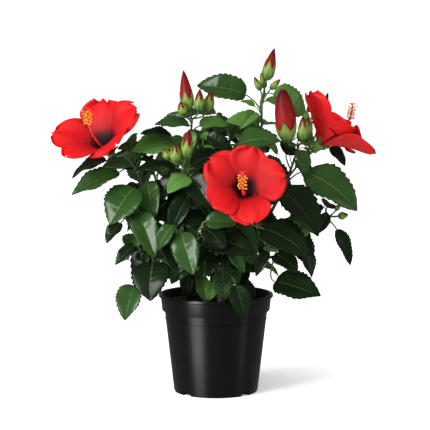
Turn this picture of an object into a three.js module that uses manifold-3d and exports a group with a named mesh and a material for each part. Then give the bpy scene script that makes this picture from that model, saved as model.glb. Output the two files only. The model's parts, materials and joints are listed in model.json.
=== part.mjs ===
// A potted hibiscus shrub: four woody stems in a black plastic nursery pot, nineteen leafy shoots,
// three open red blooms and six sprays of buds. Millimetres, +Z up, +X to the right and -Y to the front;
// the origin is the middle of the pot's flat underside.
import * as THREE from "three";
import { mergeVertices } from "three/addons/utils/BufferGeometryUtils.js";
import Module from "manifold-3d";

const wasm = await Module();
wasm.setup();

// Driving dimensions
const GAP = 0.35; // between neighbouring pieces
const POT = { height: 113, lip: 65.5, collar: 63.2, collarFoot: 61.6, body: 58.8, foot: 48, wall: 1.6, sides: 32 };
const COLLAR = { drop: 19, lipDepth: 3 };
const DRAIN = { count: 4, width: 13, height: 3.5, depth: 9 };
const SOIL = { top: 103, floor: 3, sides: 24 };
const STEM = { foot: 4.2, tip: 2.9, flare: 0.55, sides: 7, steps: 6, sunk: 3 };
const BOUGH = { foot: 2.5, neck: 1.8, tip: 1.2, sides: 4, steps: 3, end: 0.45 };
const SIDE_TWIG = { foot: 1.1, tip: 0.9, sides: 3, leaves: 3 };
const STALK = { root: 0.6, tip: 0.85 };
const LEAF = { thickness: 1.3, width: 0.78, tries: 9, clearance: 0.5, reach: 96 };
const CROWN_AXIS = new THREE.Vector3(0, 10, 200);
const GOLDEN_TURN = 137.5;

// Four habits of blade: how far it curls down to its tip, how far its halves fold up, how broad it is.
const HABITS = [
  { curl: 22, fold: 16, broad: 1.0 },
  { curl: 42, fold: 10, broad: 1.08 },
  { curl: 60, fold: 20, broad: 0.94 },
  { curl: 34, fold: 28, broad: 0.88 },
];
// Half widths of a blade, as shares of its greatest, at shares of its length.
const OUTLINE = [[0, 0], [0.17, 0.84], [0.52, 0.92], [1, 0]];

// Stems: where each foot stands on the soil, and where it ends.
const STEMS = {
  left: { foot: [-20, -6], top: [-42, -12, 192] },
  front: { foot: [6, -20], top: [2, -34, 182] },
  right: { foot: [25, 2], top: [50, -8, 196] },
  back: { foot: [-4, 22], top: [2, 44, 200] },
};

// Leafy shoots: the stem each leaves and how far up it, its tip, its leaves, the length of its blades,
// and the way its first leaf turns (0 to the right, 90 to the back).
const SHOOTS = {
  left_bloom: { stem: "left", from: 0.84, tip: [-98, -35, 278], leaves: 5, blade: 56, turn: 190 },
  upper_left: { stem: "left", from: 0.99, tip: [-27, -14, 312], leaves: 6, blade: 50, turn: 200 },
  left_middle: { stem: "left", from: 0.64, tip: [-96, -40, 226], leaves: 5, blade: 58, turn: 215 },
  low_left: { stem: "left", from: 0.48, tip: [-84, -48, 160], leaves: 5, blade: 60, turn: 235 },
  back_left: { stem: "left", from: 0.74, tip: [-76, 84, 252], leaves: 7, blade: 60, turn: 100 },
  front: { stem: "front", from: 0.82, tip: [26, -62, 222], leaves: 6, blade: 56, turn: 320 },
  middle_left: { stem: "front", from: 0.99, tip: [-36, -58, 264], leaves: 6, blade: 52, turn: 240 },
  front_low: { stem: "front", from: 0.5, tip: [4, -82, 158], leaves: 6, blade: 56, turn: 300 },
  front_left_low: { stem: "front", from: 0.66, tip: [-44, -84, 190], leaves: 6, blade: 58, turn: 220 },
  top: { stem: "right", from: 0.99, tip: [52, 0, 328], leaves: 6, blade: 50, turn: 38 },
  upper_right: { stem: "right", from: 0.82, tip: [93, -22, 284], leaves: 6, blade: 50, turn: 80 },
  right: { stem: "right", from: 0.7, tip: [126, -30, 204], leaves: 6, blade: 56, turn: 20 },
  low_right: { stem: "right", from: 0.46, tip: [82, -54, 160], leaves: 6, blade: 58, turn: 310 },
  back_low_right: { stem: "right", from: 0.58, tip: [74, 88, 170], leaves: 7, blade: 62, turn: 40 },
  centre: { stem: "back", from: 0.84, tip: [16, 0, 292], leaves: 6, blade: 54, turn: 150 },
  back_top: { stem: "back", from: 0.99, tip: [8, 78, 306], leaves: 7, blade: 58, turn: 80 },
  back_right: { stem: "back", from: 0.74, tip: [96, 84, 252], leaves: 6, blade: 62, turn: 60 },
  back_middle: { stem: "back", from: 0.62, tip: [2, 116, 222], leaves: 7, blade: 62, turn: 90 },
  back_low_left: { stem: "back", from: 0.48, tip: [-66, 86, 172], leaves: 7, blade: 62, turn: 130 },
};

// Leaves that draw the crown's outline: how far up its shoot each leaves, the foot and tip of its blade, its
// habit, the way its upper face turns and how far that face lifts, and how broad it is for its length.
const OUTLINE_LEAVES = {
  top: [
    { up: 0.95, foot: [34, 18, 339], tip: [-22, 26, 349], habit: 2, face: 265, lift: 30, broad: 0.92 },
    { up: 0.9, foot: [66, 44, 339], tip: [105, 60, 315], habit: 1, face: 255, lift: 35, broad: 1.1 },
    { up: 0.78, foot: [49, 0, 305], tip: [11, -12, 310], habit: 2, face: 270, lift: 40 },
  ],
  centre: [{ up: 0.95, foot: [24, -42, 287], tip: [71, -54, 291], habit: 1, face: 265, lift: 45 }],
  upper_right: [
    { up: 0.6, foot: [102, -26, 254], tip: [158, -42, 212], habit: 1, face: 285, lift: 35, broad: 0.9 },
    { up: 0.95, foot: [106, 18, 280], tip: [104, 19, 322], habit: 0, face: 240, lift: 10, broad: 0.7 },
    { up: 0.62, foot: [74, -52, 237], tip: [113, -73, 187], habit: 3, face: 275, lift: 45, broad: 1.15 },
  ],
  back_right: [
    { up: 0.97, foot: [133, 52, 277], tip: [150, 46, 255], habit: 0, face: 290, lift: 30, broad: 0.85 },
  ],
  right: [
    { up: 0.97, foot: [136, -30, 190], tip: [151, -38, 150], habit: 0, face: 290, lift: 10, broad: 0.6 },
    { up: 0.7, foot: [94, -38, 176], tip: [107, -50, 138], habit: 0, face: 315, lift: 10, broad: 0.9 },
    { up: 0.88, foot: [125, -34, 209], tip: [113, -40, 186], habit: 0, face: 290, lift: 30, broad: 0.8 },
  ],
  front: [{ up: 0.7, foot: [53, -66, 195], tip: [101, -88, 167], habit: 1, face: 280, lift: 35 }],
  low_right: [
    { up: 0.8, foot: [66, -60, 166], tip: [90, -78, 147], habit: 1, face: 280, lift: 40 },
    { up: 0.62, foot: [66, -55, 134], tip: [116, -80, 122], habit: 0, face: 280, lift: 40, broad: 1.1 },
    { up: 0.72, foot: [58, -64, 169], tip: [44, -70, 142], habit: 3, face: 262, lift: 30, broad: 0.8 },
    { up: 0.9, foot: [81, -56, 161], tip: [53, -60, 152], habit: 0, face: 270, lift: 40, broad: 0.9 },
  ],
  front_left_low: [{ up: 0.7, foot: [-31, -50, 166], tip: [-50, -60, 132], habit: 0, face: 262, lift: 30 }],
  front_low: [{ up: 0.85, foot: [22, -76, 134], tip: [32, -81, 97], habit: 0, face: 275, lift: 15 }],
  upper_left: [
    { up: 0.97, foot: [-30, -24, 307], tip: [-69, -35, 308], habit: 0, face: 265, lift: 62 },
    { up: 0.85, foot: [-49, -30, 294], tip: [-85, -40, 298], habit: 0, face: 265, lift: 65 },
    { up: 0.72, foot: [-48, -24, 288], tip: [-94, -36, 278], habit: 1, face: 260, lift: 45 },
  ],
  middle_left: [
    { up: 0.95, foot: [-46, -42, 261], tip: [-90, -54, 258], habit: 0, face: 265, lift: 70 },
    { up: 0.8, foot: [-30, -74, 253], tip: [-53, -92, 237], habit: 1, face: 260, lift: 40 },
  ],
  left_bloom: [
    { up: 0.95, foot: [-108, -46, 256], tip: [-160, -62, 232], habit: 0, face: 255, lift: 50, broad: 0.8 },
    { up: 0.9, foot: [-122, -42, 269], tip: [-161, -40, 248], habit: 1, face: 240, lift: 65, broad: 0.9 },
    { up: 0.8, foot: [-95, -46, 264], tip: [-126, -60, 263], habit: 0, face: 260, lift: 60, broad: 1.2 },
    { up: 0.9, foot: [-85, -22, 284], tip: [-111, -24, 280], habit: 0, face: 265, lift: 45, broad: 0.9 },
  ],
  left_middle: [
    { up: 0.97, foot: [-91, -50, 239], tip: [-117, -72, 200], habit: 1, face: 250, lift: 35, broad: 1.25 },
    { up: 0.8, foot: [-107, -42, 199], tip: [-122, -54, 177], habit: 0, face: 245, lift: 25, broad: 0.95 },
    { up: 0.72, foot: [-86, -58, 212], tip: [-67, -82, 164], habit: 3, face: 265, lift: 30 },
  ],
  low_left: [
    { up: 0.97, foot: [-91, -54, 175], tip: [-112, -63, 154], habit: 0, face: 250, lift: 30, broad: 0.85 },
    { up: 0.82, foot: [-70, -64, 158], tip: [-72, -86, 117], habit: 1, face: 262, lift: 25, broad: 1.3 },
    { up: 0.6, foot: [-91, -60, 131], tip: [-101, -78, 94], habit: 3, face: 250, lift: 20, broad: 1.4 },
  ],
};

// Blooms: the shoot and how far up it the stalk leaves, the throat, the way it faces, its radius, and
// the turn and size of each petal, seen from in front.
const BLOOMS = {
  front: {
    shoot: "front",
    up: 1,
    throat: [31, -98, 245],
    faces: [-0.07, -0.93, 0.37],
    radius: 44,
    petals: [[10, 1.02], [78, 0.95], [145, 1.06], [212, 0.94], [284, 1.03]],
  },
  left: {
    shoot: "left_bloom",
    up: 1,
    throat: [-127, -46, 295],
    faces: [-0.36, -0.58, 0.73],
    radius: 49,
    petals: [[188, 1.15], [108, 0.95], [45, 1], [324, 0.88], [244, 0.96]],
  },
  right: {
    shoot: "upper_right",
    up: 0.86,
    throat: [129, 1, 297],
    faces: [0.66, 0.31, 0.69],
    radius: 47,
    petals: [[14, 1.03], [93, 1.11], [174, 0.87], [224, 1.18], [308, 1.03]],
  },
};
const COLUMN = { reach: 40, rise: 2 };
const PETAL = { rows: 4, cols: 3, thickness: 2, blunt: 0.94 };

// Sprays of buds: the shoot, then each bud's foot and tip, its width, and how much of it the calyx wraps.
const BUDS = {
  top: {
    shoot: "top",
    buds: [
      { foot: [57, 0, 357], tip: [66, 0, 393], width: 13.5, calyx: 0.55 },
      { foot: [50, -6, 346], tip: [43, -9, 361], width: 7, calyx: 0.8 },
      { foot: [62, -4, 347], tip: [73, -5, 358], width: 7, calyx: 0.8 },
      { foot: [55, 5, 348], tip: [51, 8, 365], width: 7, calyx: 0.8 },
    ],
  },
  left: {
    shoot: "upper_left",
    buds: [
      { foot: [-31, -18, 322], tip: [-36.5, -20, 369], width: 15, calyx: 0.45 },
      { foot: [-19, -22, 323], tip: [-18, -24, 348], width: 11, calyx: 0.7 },
      { foot: [-10, -12, 322], tip: [-5, -12, 345], width: 12, calyx: 0.75 },
      { foot: [-36, -24, 319], tip: [-40, -30, 334], width: 11, calyx: 0.8 },
    ],
  },
  middle: {
    shoot: "middle_left",
    buds: [
      { foot: [-33, -68, 275], tip: [-29.5, -73, 306], width: 13, calyx: 0.6 },
      { foot: [-44, -68, 270], tip: [-45, -76, 291], width: 12, calyx: 0.8 },
      { foot: [-52, -58, 272], tip: [-58, -60, 284], width: 9, calyx: 0.8 },
    ],
  },
  right: {
    shoot: "upper_right",
    buds: [
      { foot: [80, -34, 289], tip: [74, -37, 349], width: 24, calyx: 0.33 },
      { foot: [97, -36, 291], tip: [97, -38, 319], width: 11, calyx: 0.75 },
      { foot: [101, -18, 293], tip: [104, -16, 316], width: 10, calyx: 0.8 },
    ],
  },
  far_right: {
    shoot: "back_right",
    buds: [{ foot: [119, 72, 296], tip: [131, 66, 340], width: 12, calyx: 0.6 }],
  },
  low: {
    shoot: "right",
    buds: [
      { foot: [138, -30, 205], tip: [149, -31, 207], width: 8, calyx: 0.8 },
      { foot: [135, -30, 212], tip: [140, -31, 220], width: 5, calyx: 0.8 },
    ],
  },
};
const BUD = { sides: 5, collar: 3.2, stalk: [1.2, 1] };
const MASS = { sides: 4, steps: 3 };

// Places with open sky behind them, seen from the front: across, up, radius.
const SKY = [
  [-134, 235, 10],
  [-150, 253, 5],
  [-109, 244, 7],
  [-73, 245, 5],
  [-109, 195, 6],
  [-112, 156, 5],
  [-52, 124, 7],
  [14, 330, 8],
  [63, 321, 5],
  [75, 266, 5],
  [93, 247, 8],
  [76, 211, 8],
  [121, 184, 5],
  [134, 204, 5],
  [98, 149, 5],
  [56, 133, 8],
  [36, 136, 4],
  [119, 272, 8],
  [121, 165, 8],
  [95, 147, 7],
  [-94, 155, 6],
];
const SIGHT = new THREE.Vector3(0, -Math.cos(0.112), Math.sin(0.112)); // from the plant towards the eye

// Small helpers
const vec = (x, y, z) => new THREE.Vector3(x, y, z);
const rad = THREE.MathUtils.degToRad;
const clamp = THREE.MathUtils.clamp;
const UP = vec(0, 0, 1);
const mix = (a, b, t) => a + (b - a) * t;

// A repeatable number from 0 to 1 for a place in a sequence.
function chance(seed, index, channel) {
  const s = Math.sin(seed * 12.9898 + index * 78.233 + channel * 37.719) * 43758.5453;
  return s - Math.floor(s);
}

// A heading: a turn round the vertical and a rise above the level, in degrees.
function heading(turn, rise) {
  const level = Math.cos(rad(rise));
  return vec(Math.cos(rad(turn)) * level, Math.sin(rad(turn)) * level, Math.sin(rad(rise)));
}

// Solids
function manifoldOf(points, index) {
  const vertProperties = new Float32Array(points);
  return new wasm.Manifold(new wasm.Mesh({ numProp: 3, vertProperties, triVerts: new Uint32Array(index) }));
}

// One closed body of a geometry: shared corners merged, empty faces dropped, faces turned outwards.
function solid(geometry) {
  geometry.deleteAttribute("normal");
  geometry.deleteAttribute("uv");
  const merged = mergeVertices(geometry, 1e-4);
  const points = merged.getAttribute("position").array;
  const corners = merged.index.array;
  const kept = [];
  const reversed = [];
  for (let i = 0; i < corners.length; i += 3) {
    const [a, b, c] = [corners[i], corners[i + 1], corners[i + 2]];
    if (a === b || b === c || c === a) continue;
    kept.push(a, b, c);
    reversed.push(a, c, b);
  }
  const made = manifoldOf(points, kept);
  return made.volume() > 0 ? made : manifoldOf(points, reversed);
}

const join = (solids) => solids.reduce((whole, next) => whole.add(next));
const largest = (whole) => whole.decompose().sort((a, b) => b.volume() - a.volume())[0];

function geometryOf(manifold) {
  const mesh = manifold.getMesh();
  return new THREE.BufferGeometry()
    .setAttribute("position", new THREE.BufferAttribute(mesh.vertProperties, 3))
    .setIndex(new THREE.BufferAttribute(mesh.triVerts, 1))
    .toNonIndexed();
}

// A tapering limb: a cylinder whose length follows a curve.
function limb(curve, from, to, radius, sides, steps) {
  const geometry = new THREE.CylinderGeometry(1, 1, 1, sides, steps);
  const points = geometry.getAttribute("position");
  const rings = [];
  let side = Math.abs(curve.getTangent(from).x) > 0.9 ? vec(0, 1, 0) : vec(1, 0, 0);
  for (let k = 0; k <= steps; k++) {
    const t = mix(from, to, k / steps);
    const along = curve.getTangent(t);
    side = side.clone().addScaledVector(along, -side.dot(along)).normalize();
    rings.push({ centre: curve.getPoint(t), side, across: side.clone().cross(along), radius: radius(t) });
  }
  for (let i = 0; i < points.count; i++) {
    const ring = rings[Math.round((points.getY(i) + 0.5) * steps)];
    const p = ring.centre
      .clone()
      .addScaledVector(ring.side, ring.radius * points.getX(i))
      .addScaledVector(ring.across, ring.radius * points.getZ(i));
    points.setXYZ(i, p.x, p.y, p.z);
  }
  return solid(geometry);
}

// A thin blade: a box of many cells bent into place. It is thick inside and at its first row, where it is
// rooted in something else, and runs out to nothing at the rest of its rim.
function blade(rows, cols, place, thickness) {
  const geometry = new THREE.BoxGeometry(1, 1, 1, cols, rows, 1);
  const points = geometry.getAttribute("position");
  const at = (i, j) => place(clamp(i, 0, rows), clamp(j, 0, cols));
  for (let n = 0; n < points.count; n++) {
    const i = Math.round((points.getY(n) + 0.5) * rows);
    const j = Math.round((points.getX(n) + 0.5) * cols);
    const across = at(i, j + 1).sub(at(i, j - 1));
    const normal = across.cross(at(i + 1, j).sub(at(i - 1, j))).normalize();
    const rim = i === rows || j === 0 || j === cols;
    const p = at(i, j).addScaledVector(normal, rim ? 0 : thickness * points.getZ(n));
    points.setXYZ(n, p.x, p.y, p.z);
  }
  return solid(geometry);
}

// A round body turned about a line from foot to tip; its profile is [share of the way, radius] pairs.
function turnedBody(foot, tip, profile, sides) {
  const length = foot.distanceTo(tip);
  const outline = profile.map(([share, radius]) => new THREE.Vector2(radius, share * length));
  const geometry = new THREE.LatheGeometry(outline, sides);
  const turn = new THREE.Quaternion().setFromUnitVectors(vec(0, 1, 0), tip.clone().sub(foot).normalize());
  return solid(geometry.applyQuaternion(turn).translate(foot.x, foot.y, foot.z));
}

// Pot and soil
function lathe(profile, sides) {
  const geometry = new THREE.LatheGeometry(profile.map(([r, z]) => new THREE.Vector2(r, z)), sides);
  return solid(geometry.rotateX(Math.PI / 2));
}

const collarFoot = POT.height - COLLAR.drop;

function innerRadius(z) {
  const outer =
    z > collarFoot
      ? mix(POT.collarFoot, POT.collar, (z - collarFoot) / COLLAR.drop)
      : mix(POT.foot, POT.body, z / collarFoot);
  return outer - POT.wall;
}

function makePot() {
  const outside = [
    [0, 0],
    [POT.foot - 1.6, 0],
    [POT.foot, 1.8],
    [POT.body, collarFoot],
    [POT.collarFoot, collarFoot + 0.6],
    [POT.collar, POT.height - COLLAR.lipDepth - 0.8],
    [POT.lip, POT.height - COLLAR.lipDepth],
    [POT.lip, POT.height - 0.8],
    [POT.lip - 0.8, POT.height],
    [POT.collar - POT.wall, POT.height],
  ];
  const inside = [
    [innerRadius(collarFoot + 0.1), collarFoot + 1.6],
    [innerRadius(collarFoot), collarFoot - 0.4],
    [innerRadius(0) + 0.2, SOIL.floor],
    [0, SOIL.floor],
  ];
  const shell = lathe([...outside, ...inside], POT.sides);
  // The drain slots open the corner between wall and floor, at the four diagonals.
  const slots = Array.from({ length: DRAIN.count }, (_, k) => {
    const box = new THREE.BoxGeometry(DRAIN.depth, DRAIN.width, 2 * DRAIN.height);
    box.translate(POT.foot - DRAIN.depth / 4, 0, 0);
    return solid(box.rotateZ(rad(45 + (360 / DRAIN.count) * k)));
  });
  return slots.reduce((pot, slot) => pot.subtract(slot), shell);
}

function makeSoil() {
  const clear = GAP + 0.15;
  const profile = [
    [0, SOIL.floor + GAP],
    [innerRadius(0) - clear, SOIL.floor + GAP],
    [innerRadius(collarFoot) - clear, collarFoot - 0.4],
    [innerRadius(collarFoot + 0.1) - clear, collarFoot + 1.6],
    [innerRadius(SOIL.top) - clear, SOIL.top - 0.8],
    [innerRadius(SOIL.top) - clear - 2, SOIL.top],
    [0, SOIL.top],
  ];
  return lathe(profile, SOIL.sides);
}

// Stems and shoots
function stemCurve(name) {
  const { foot, top } = STEMS[name];
  const start = vec(foot[0], foot[1], SOIL.top - STEM.sunk);
  const end = vec(...top);
  const bend = start.clone().lerp(end, 0.5);
  bend.add(vec((start.x - end.x) * 0.25, (start.y - end.y) * 0.25, 6));
  return new THREE.QuadraticBezierCurve3(start, bend, end);
}

const stemRadius = (t) => mix(STEM.foot, STEM.tip, t) * (1 + STEM.flare * Math.exp(-12 * t));

// A shoot leaves its stem outwards and then turns up to its tip.
function shootCurve(name) {
  const { stem, from, tip } = SHOOTS[name];
  const start = stemCurve(stem).getPoint(from);
  const end = vec(...tip);
  const rise = end.z - start.z;
  const bend = start.clone().lerp(end, 0.62);
  bend.z = start.z + 0.36 * rise + (rise < 20 ? 12 : 0);
  return new THREE.QuadraticBezierCurve3(start, bend, end);
}

function boughRadius(t) {
  if (t < BOUGH.end) return mix(BOUGH.foot, BOUGH.neck, t / BOUGH.end);
  return mix(BOUGH.neck, BOUGH.tip, (t - BOUGH.end) / (1 - BOUGH.end));
}

// Where a mass's own stem begins, just clear of its bough's tip.
const massStart = (curve) => BOUGH.end + GAP / curve.getLength();

// A point in the middle of a mass's own stem, which runs straight from ring to ring.
function shootPoint(name, t) {
  const curve = shootCurve(name);
  const from = massStart(curve);
  const along = clamp(((t - from) / (1 - from)) * MASS.steps, 0, MASS.steps);
  const ring = Math.min(Math.floor(along), MASS.steps - 1);
  const at = (k) => curve.getPoint(mix(from, 1, k / MASS.steps));
  return at(ring).lerp(at(ring + 1), along - ring);
}

// The side twig of a shoot, a short line that turns up from the main one.
function sideTwig(name, seed) {
  const start = shootPoint(name, 0.66);
  const turn = SHOOTS[name].turn + 70 + 40 * chance(seed, 0, 1);
  const length = 28 + 12 * chance(seed, 0, 2);
  return new THREE.LineCurve3(start, start.clone().addScaledVector(heading(turn, 38), length));
}

// A leaf: its stalk from a twig to the foot of the blade, and the blade, which sets off along one way under
// its upper face and curls down to its tip.
function leafPlan({ home, start, foot, along, normal, length, habit, broad = 1 }) {
  const { curl, fold, broad: habitBroad } = HABITS[habit];
  const side = along.clone().cross(normal);
  const widest = 0.5 * LEAF.width * habitBroad * broad * length;
  // A place on the blade: a share of its length, the side, and the half width there.
  const place = (share, across, width) => {
    const bent = Math.max(rad(curl) * share, 1e-6);
    const lift = normal.clone().multiplyScalar(Math.cos(bent)).addScaledVector(along, Math.sin(bent));
    return foot
      .clone()
      .addScaledVector(along, (length * Math.sin(bent)) / rad(curl))
      .addScaledVector(normal, (-length * (1 - Math.cos(bent))) / rad(curl))
      .addScaledVector(side, widest * width * across * Math.cos(rad(fold)))
      .addScaledVector(lift, widest * width * Math.abs(across) * Math.sin(rad(fold)));
  };
  return { home, start, foot, side, place };
}

// A leaf laid from its foot to its tip, its upper face turned as far as it can be to the way given.
function aimedLeaf(home, { up, foot, tip, habit, face, lift, broad }) {
  const chord = vec(...tip).sub(vec(...foot));
  const bent = rad(HABITS[habit].curl) / 2;
  const length = (chord.length() * bent) / Math.sin(bent);
  chord.normalize();
  const upper = heading(face, lift);
  upper.addScaledVector(chord, -upper.dot(chord)).normalize();
  const along = chord.clone().multiplyScalar(Math.cos(bent)).addScaledVector(upper, Math.sin(bent));
  const normal = upper.multiplyScalar(Math.cos(bent)).addScaledVector(chord, -Math.sin(bent));
  return leafPlan({ home, start: shootPoint(home, up), foot: vec(...foot), along, normal, length, habit, broad });
}

// What is already there: lines and faces, how thick they are, and the mass they belong to.
const taken = [];

function claim(home, lines, faces, thick, leafy = false) {
  const box = new THREE.Box3();
  for (const line of lines) box.expandByPoint(line.start).expandByPoint(line.end);
  return { home, lines, faces, thick, box, leafy };
}

function crosses(line, face) {
  const ray = new THREE.Ray(line.start, line.end.clone().sub(line.start).normalize());
  const hit = ray.intersectTriangle(face.a, face.b, face.c, false, vec(0, 0, 0));
  return hit !== null && hit.distanceTo(line.start) <= line.distance();
}

function tooNear(one, other) {
  const room = one.thick + other.thick + LEAF.clearance;
  if (!one.box.clone().expandByScalar(room).intersectsBox(other.box)) return false;
  const near = vec(0, 0, 0);
  for (const [a, b] of [[one, other], [other, one]]) {
    for (const face of b.faces) {
      for (const line of a.lines) {
        if (crosses(line, face)) return true;
        for (const end of [line.start, line.end]) {
          if (face.closestPointToPoint(end, near).distanceTo(end) < room) return true;
        }
      }
    }
  }
  return one.lines.some((p) => other.lines.some((q) => p.distanceSqToLine3(q) < room * room));
}

function claimCurve(home, curve, from, to, radius, steps) {
  const at = (k) => curve.getPoint(mix(from, to, k / steps));
  const lines = Array.from({ length: steps }, (_, k) => new THREE.Line3(at(k), at(k + 1)));
  taken.push(claim(home, lines, [], radius));
}

// The lines and faces of a sheet of points, row by row.
function claimSheet(home, rows, thick, leafy) {
  const lines = [];
  const faces = [];
  for (let i = 0; i + 1 < rows.length; i++) {
    for (let j = 0; j < rows[i].length; j++) {
      lines.push(new THREE.Line3(rows[i][j], rows[i + 1][j]));
      if (j + 1 === rows[i].length) continue;
      lines.push(new THREE.Line3(rows[i][j], rows[i][j + 1]));
      faces.push(new THREE.Triangle(rows[i][j], rows[i + 1][j], rows[i + 1][j + 1]));
      faces.push(new THREE.Triangle(rows[i][j], rows[i + 1][j + 1], rows[i][j + 1]));
    }
  }
  const long = lines.filter((line) => line.distance() > 0.01);
  const broad = faces.filter((face) => face.getArea() > 0.01);
  return claim(home, long, broad, thick, leafy);
}

// How far a point lies off the line of sight through another, and whether it is on the near side of it.
function offSight(point, through) {
  const offset = point.clone().sub(through);
  const ahead = offset.dot(SIGHT);
  return { off: offset.addScaledVector(SIGHT, -ahead).length(), near: ahead > 0 };
}

// Whether a point is inside a bloom's mouth, or between the eye and the bloom's face.
function hidesBloom(point, { throat, faces, radius }) {
  const axis = vec(...faces).normalize();
  const offset = point.clone().sub(vec(...throat));
  const depth = offset.dot(axis);
  if (depth > -4 && offset.clone().addScaledVector(axis, -depth).length() < radius + 3) return true;
  const ahead = depth / SIGHT.dot(axis);
  return ahead > 0 && offset.addScaledVector(SIGHT, -ahead).length() < radius - 6;
}

function hidesBud(point, bud) {
  const sight = offSight(point, vec(...bud.foot).lerp(vec(...bud.tip), 0.6));
  return sight.near && sight.off < bud.width * 0.5 + 5;
}

function outOfBounds(point, twig) {
  if (Math.hypot(point.x, point.y) < POT.lip + 4 && point.z < POT.height + 4) return true;
  return point.z < POT.height - 24 || point.distanceTo(twig.getPoint(0.8)) > LEAF.reach;
}

function blocksView(point) {
  if (SKY.some(([x, z, r]) => offSight(point, vec(x, 0, z)).off < r)) return true;
  if (Object.values(BLOOMS).some((bloom) => hidesBloom(point, bloom))) return true;
  return Object.values(BUDS).some(({ buds }) => buds.some((bud) => hidesBud(point, bud)));
}

function leafClaims(plan) {
  const rows = OUTLINE.map(([share, width]) => [-1, 0, 1].map((across) => plan.place(share, across, width)));
  const sheet = claimSheet(plan.home, rows, LEAF.thickness / 2, true);
  const stalk = new THREE.Line3(plan.start.clone().lerp(plan.foot, 0.1), plan.foot);
  return { sheet, stalk: claim(plan.home, [stalk], [], STALK.tip) };
}

function settles({ sheet, stalk }, twig, aimed) {
  const points = sheet.lines.flatMap((line) => [line.start, line.end]);
  points.push(...sheet.faces.map((face) => face.getMidpoint(vec(0, 0, 0))));
  if (points.some((point) => outOfBounds(point, twig) || (!aimed && blocksView(point)))) return false;
  return !taken.some((one) => {
    if (one.home === sheet.home) return one.leafy && tooNear(sheet, one);
    return tooNear(sheet, one) || tooNear(stalk, one);
  });
}

// One sheet makes the whole leaf: two rows for its stalk, then the rows of its blade.
function leafSolid({ start, foot, side, place }) {
  const at = (i, j) => {
    if (i === 0) return start.clone().addScaledVector(side, STALK.root * (1 - j));
    if (i === 1) return foot.clone().addScaledVector(side, STALK.tip * (1 - j));
    const [share, width] = OUTLINE[i - 1];
    return place(share, 1 - j, width);
  };
  return blade(OUTLINE.length, 2, at, LEAF.thickness);
}

// The leaf places of one shoot, by a rule: a golden turn from leaf to leaf, smaller leaves to the tip.
function leafPlaces(name, seed) {
  const { leaves, turn, blade: longest } = SHOOTS[name];
  const places = Array.from({ length: leaves }, (_, k) => {
    const up = mix(BOUGH.end + 0.05, 0.97, k / (leaves - 1));
    return { start: shootPoint(name, up), turn: turn + GOLDEN_TURN * k, up, length: longest * (1 - 0.42 * up ** 4) };
  });
  const twig = sideTwig(name, seed);
  for (let k = 0; k < SIDE_TWIG.leaves; k++) {
    const up = mix(0.35, 0.97, k / (SIDE_TWIG.leaves - 1));
    places.push({ start: twig.getPoint(up), turn: turn + 60 + GOLDEN_TURN * k, up, length: longest * 0.85 });
  }
  return places;
}

// One try at a leaf place: each try turns the leaf further and makes it a little smaller. Its upper face
// turns out, up and to the light in front.
function leafTry(name, place, slot, attempt) {
  const draw = (channel) => chance(seeds[name] + 0.37 * attempt, slot, channel);
  const turn = place.turn + (draw(1) - 0.5) * (30 + 42 * attempt);
  const rise = mix(20, 58, place.up) + 24 * (draw(2) - 0.5);
  const stalk = mix(13, 25, draw(4)) * (1.1 - 0.4 * place.up);
  const foot = place.start.clone().addScaledVector(heading(turn, rise), stalk);
  const away = vec(foot.x - CROWN_AXIS.x, foot.y - CROWN_AXIS.y, 0).normalize();
  const light = 0.75 * clamp((45 - foot.y) / 80, -0.7, 1);
  const normal = away.multiplyScalar(0.5).add(vec(0, -light, 0.85));
  normal.add(vec(0.6 * (draw(7) - 0.5), 0.4 * (draw(8) - 0.5), 0.4 * (draw(9) - 0.5))).normalize();
  const along = heading(turn, mix(-50, -6, place.up) + 36 * (draw(3) - 0.5));
  along.addScaledVector(normal, -along.dot(normal)).normalize();
  const length = place.length * mix(0.88, 1.1, draw(5)) * (1 - 0.035 * attempt);
  return leafPlan({ home: name, start: place.start, foot, along, normal, length, habit: Math.floor(4 * draw(6)) });
}

// Buds and blooms
function makeBud({ foot, tip, width, calyx }) {
  const r = width / 2;
  const profile = [[0, 0], [0.02, r * 0.6], [0.5 * calyx, r * 1.08], [calyx, r], [mix(calyx, 1, 0.6), r * 0.6], [1, 0]];
  return turnedBody(vec(...foot), vec(...tip), profile, BUD.sides);
}

function stalkCurve(start, foot, aim) {
  const bend = foot.clone().addScaledVector(aim, -0.45 * start.distanceTo(foot));
  return new THREE.QuadraticBezierCurve3(start, bend, foot);
}

// A spray: a short collar on the shoot's tip, the buds' stalks out of it, and the buds.
function makeSpray({ shoot, buds }) {
  const main = shootCurve(shoot);
  const along = main.getTangent(1);
  const root = main.getPoint(1).addScaledVector(along, GAP);
  const head = root.clone().addScaledVector(along, BUD.collar);
  const collar = limb(new THREE.LineCurve3(root, head), 0, 1, () => BOUGH.tip, BUD.sides, 1);
  const pieces = buds.flatMap((bud, k) => {
    const foot = vec(...bud.foot);
    const aim = vec(...bud.tip).sub(foot).normalize();
    const curve = stalkCurve(head.clone().addScaledVector(along, -1), foot.addScaledVector(aim, 1.5), aim);
    const radius = BUD.stalk[k === 0 ? 0 : 1];
    claimCurve("spray", curve, 0, 1, radius, 3);
    claimCurve("spray", new THREE.LineCurve3(foot, vec(...bud.tip)), 0, 0.85, bud.width * 0.52, 1);
    return [limb(curve, 0, 1, () => radius, 3, 2), makeBud(bud)];
  });
  return join([collar, ...pieces]);
}

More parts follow.
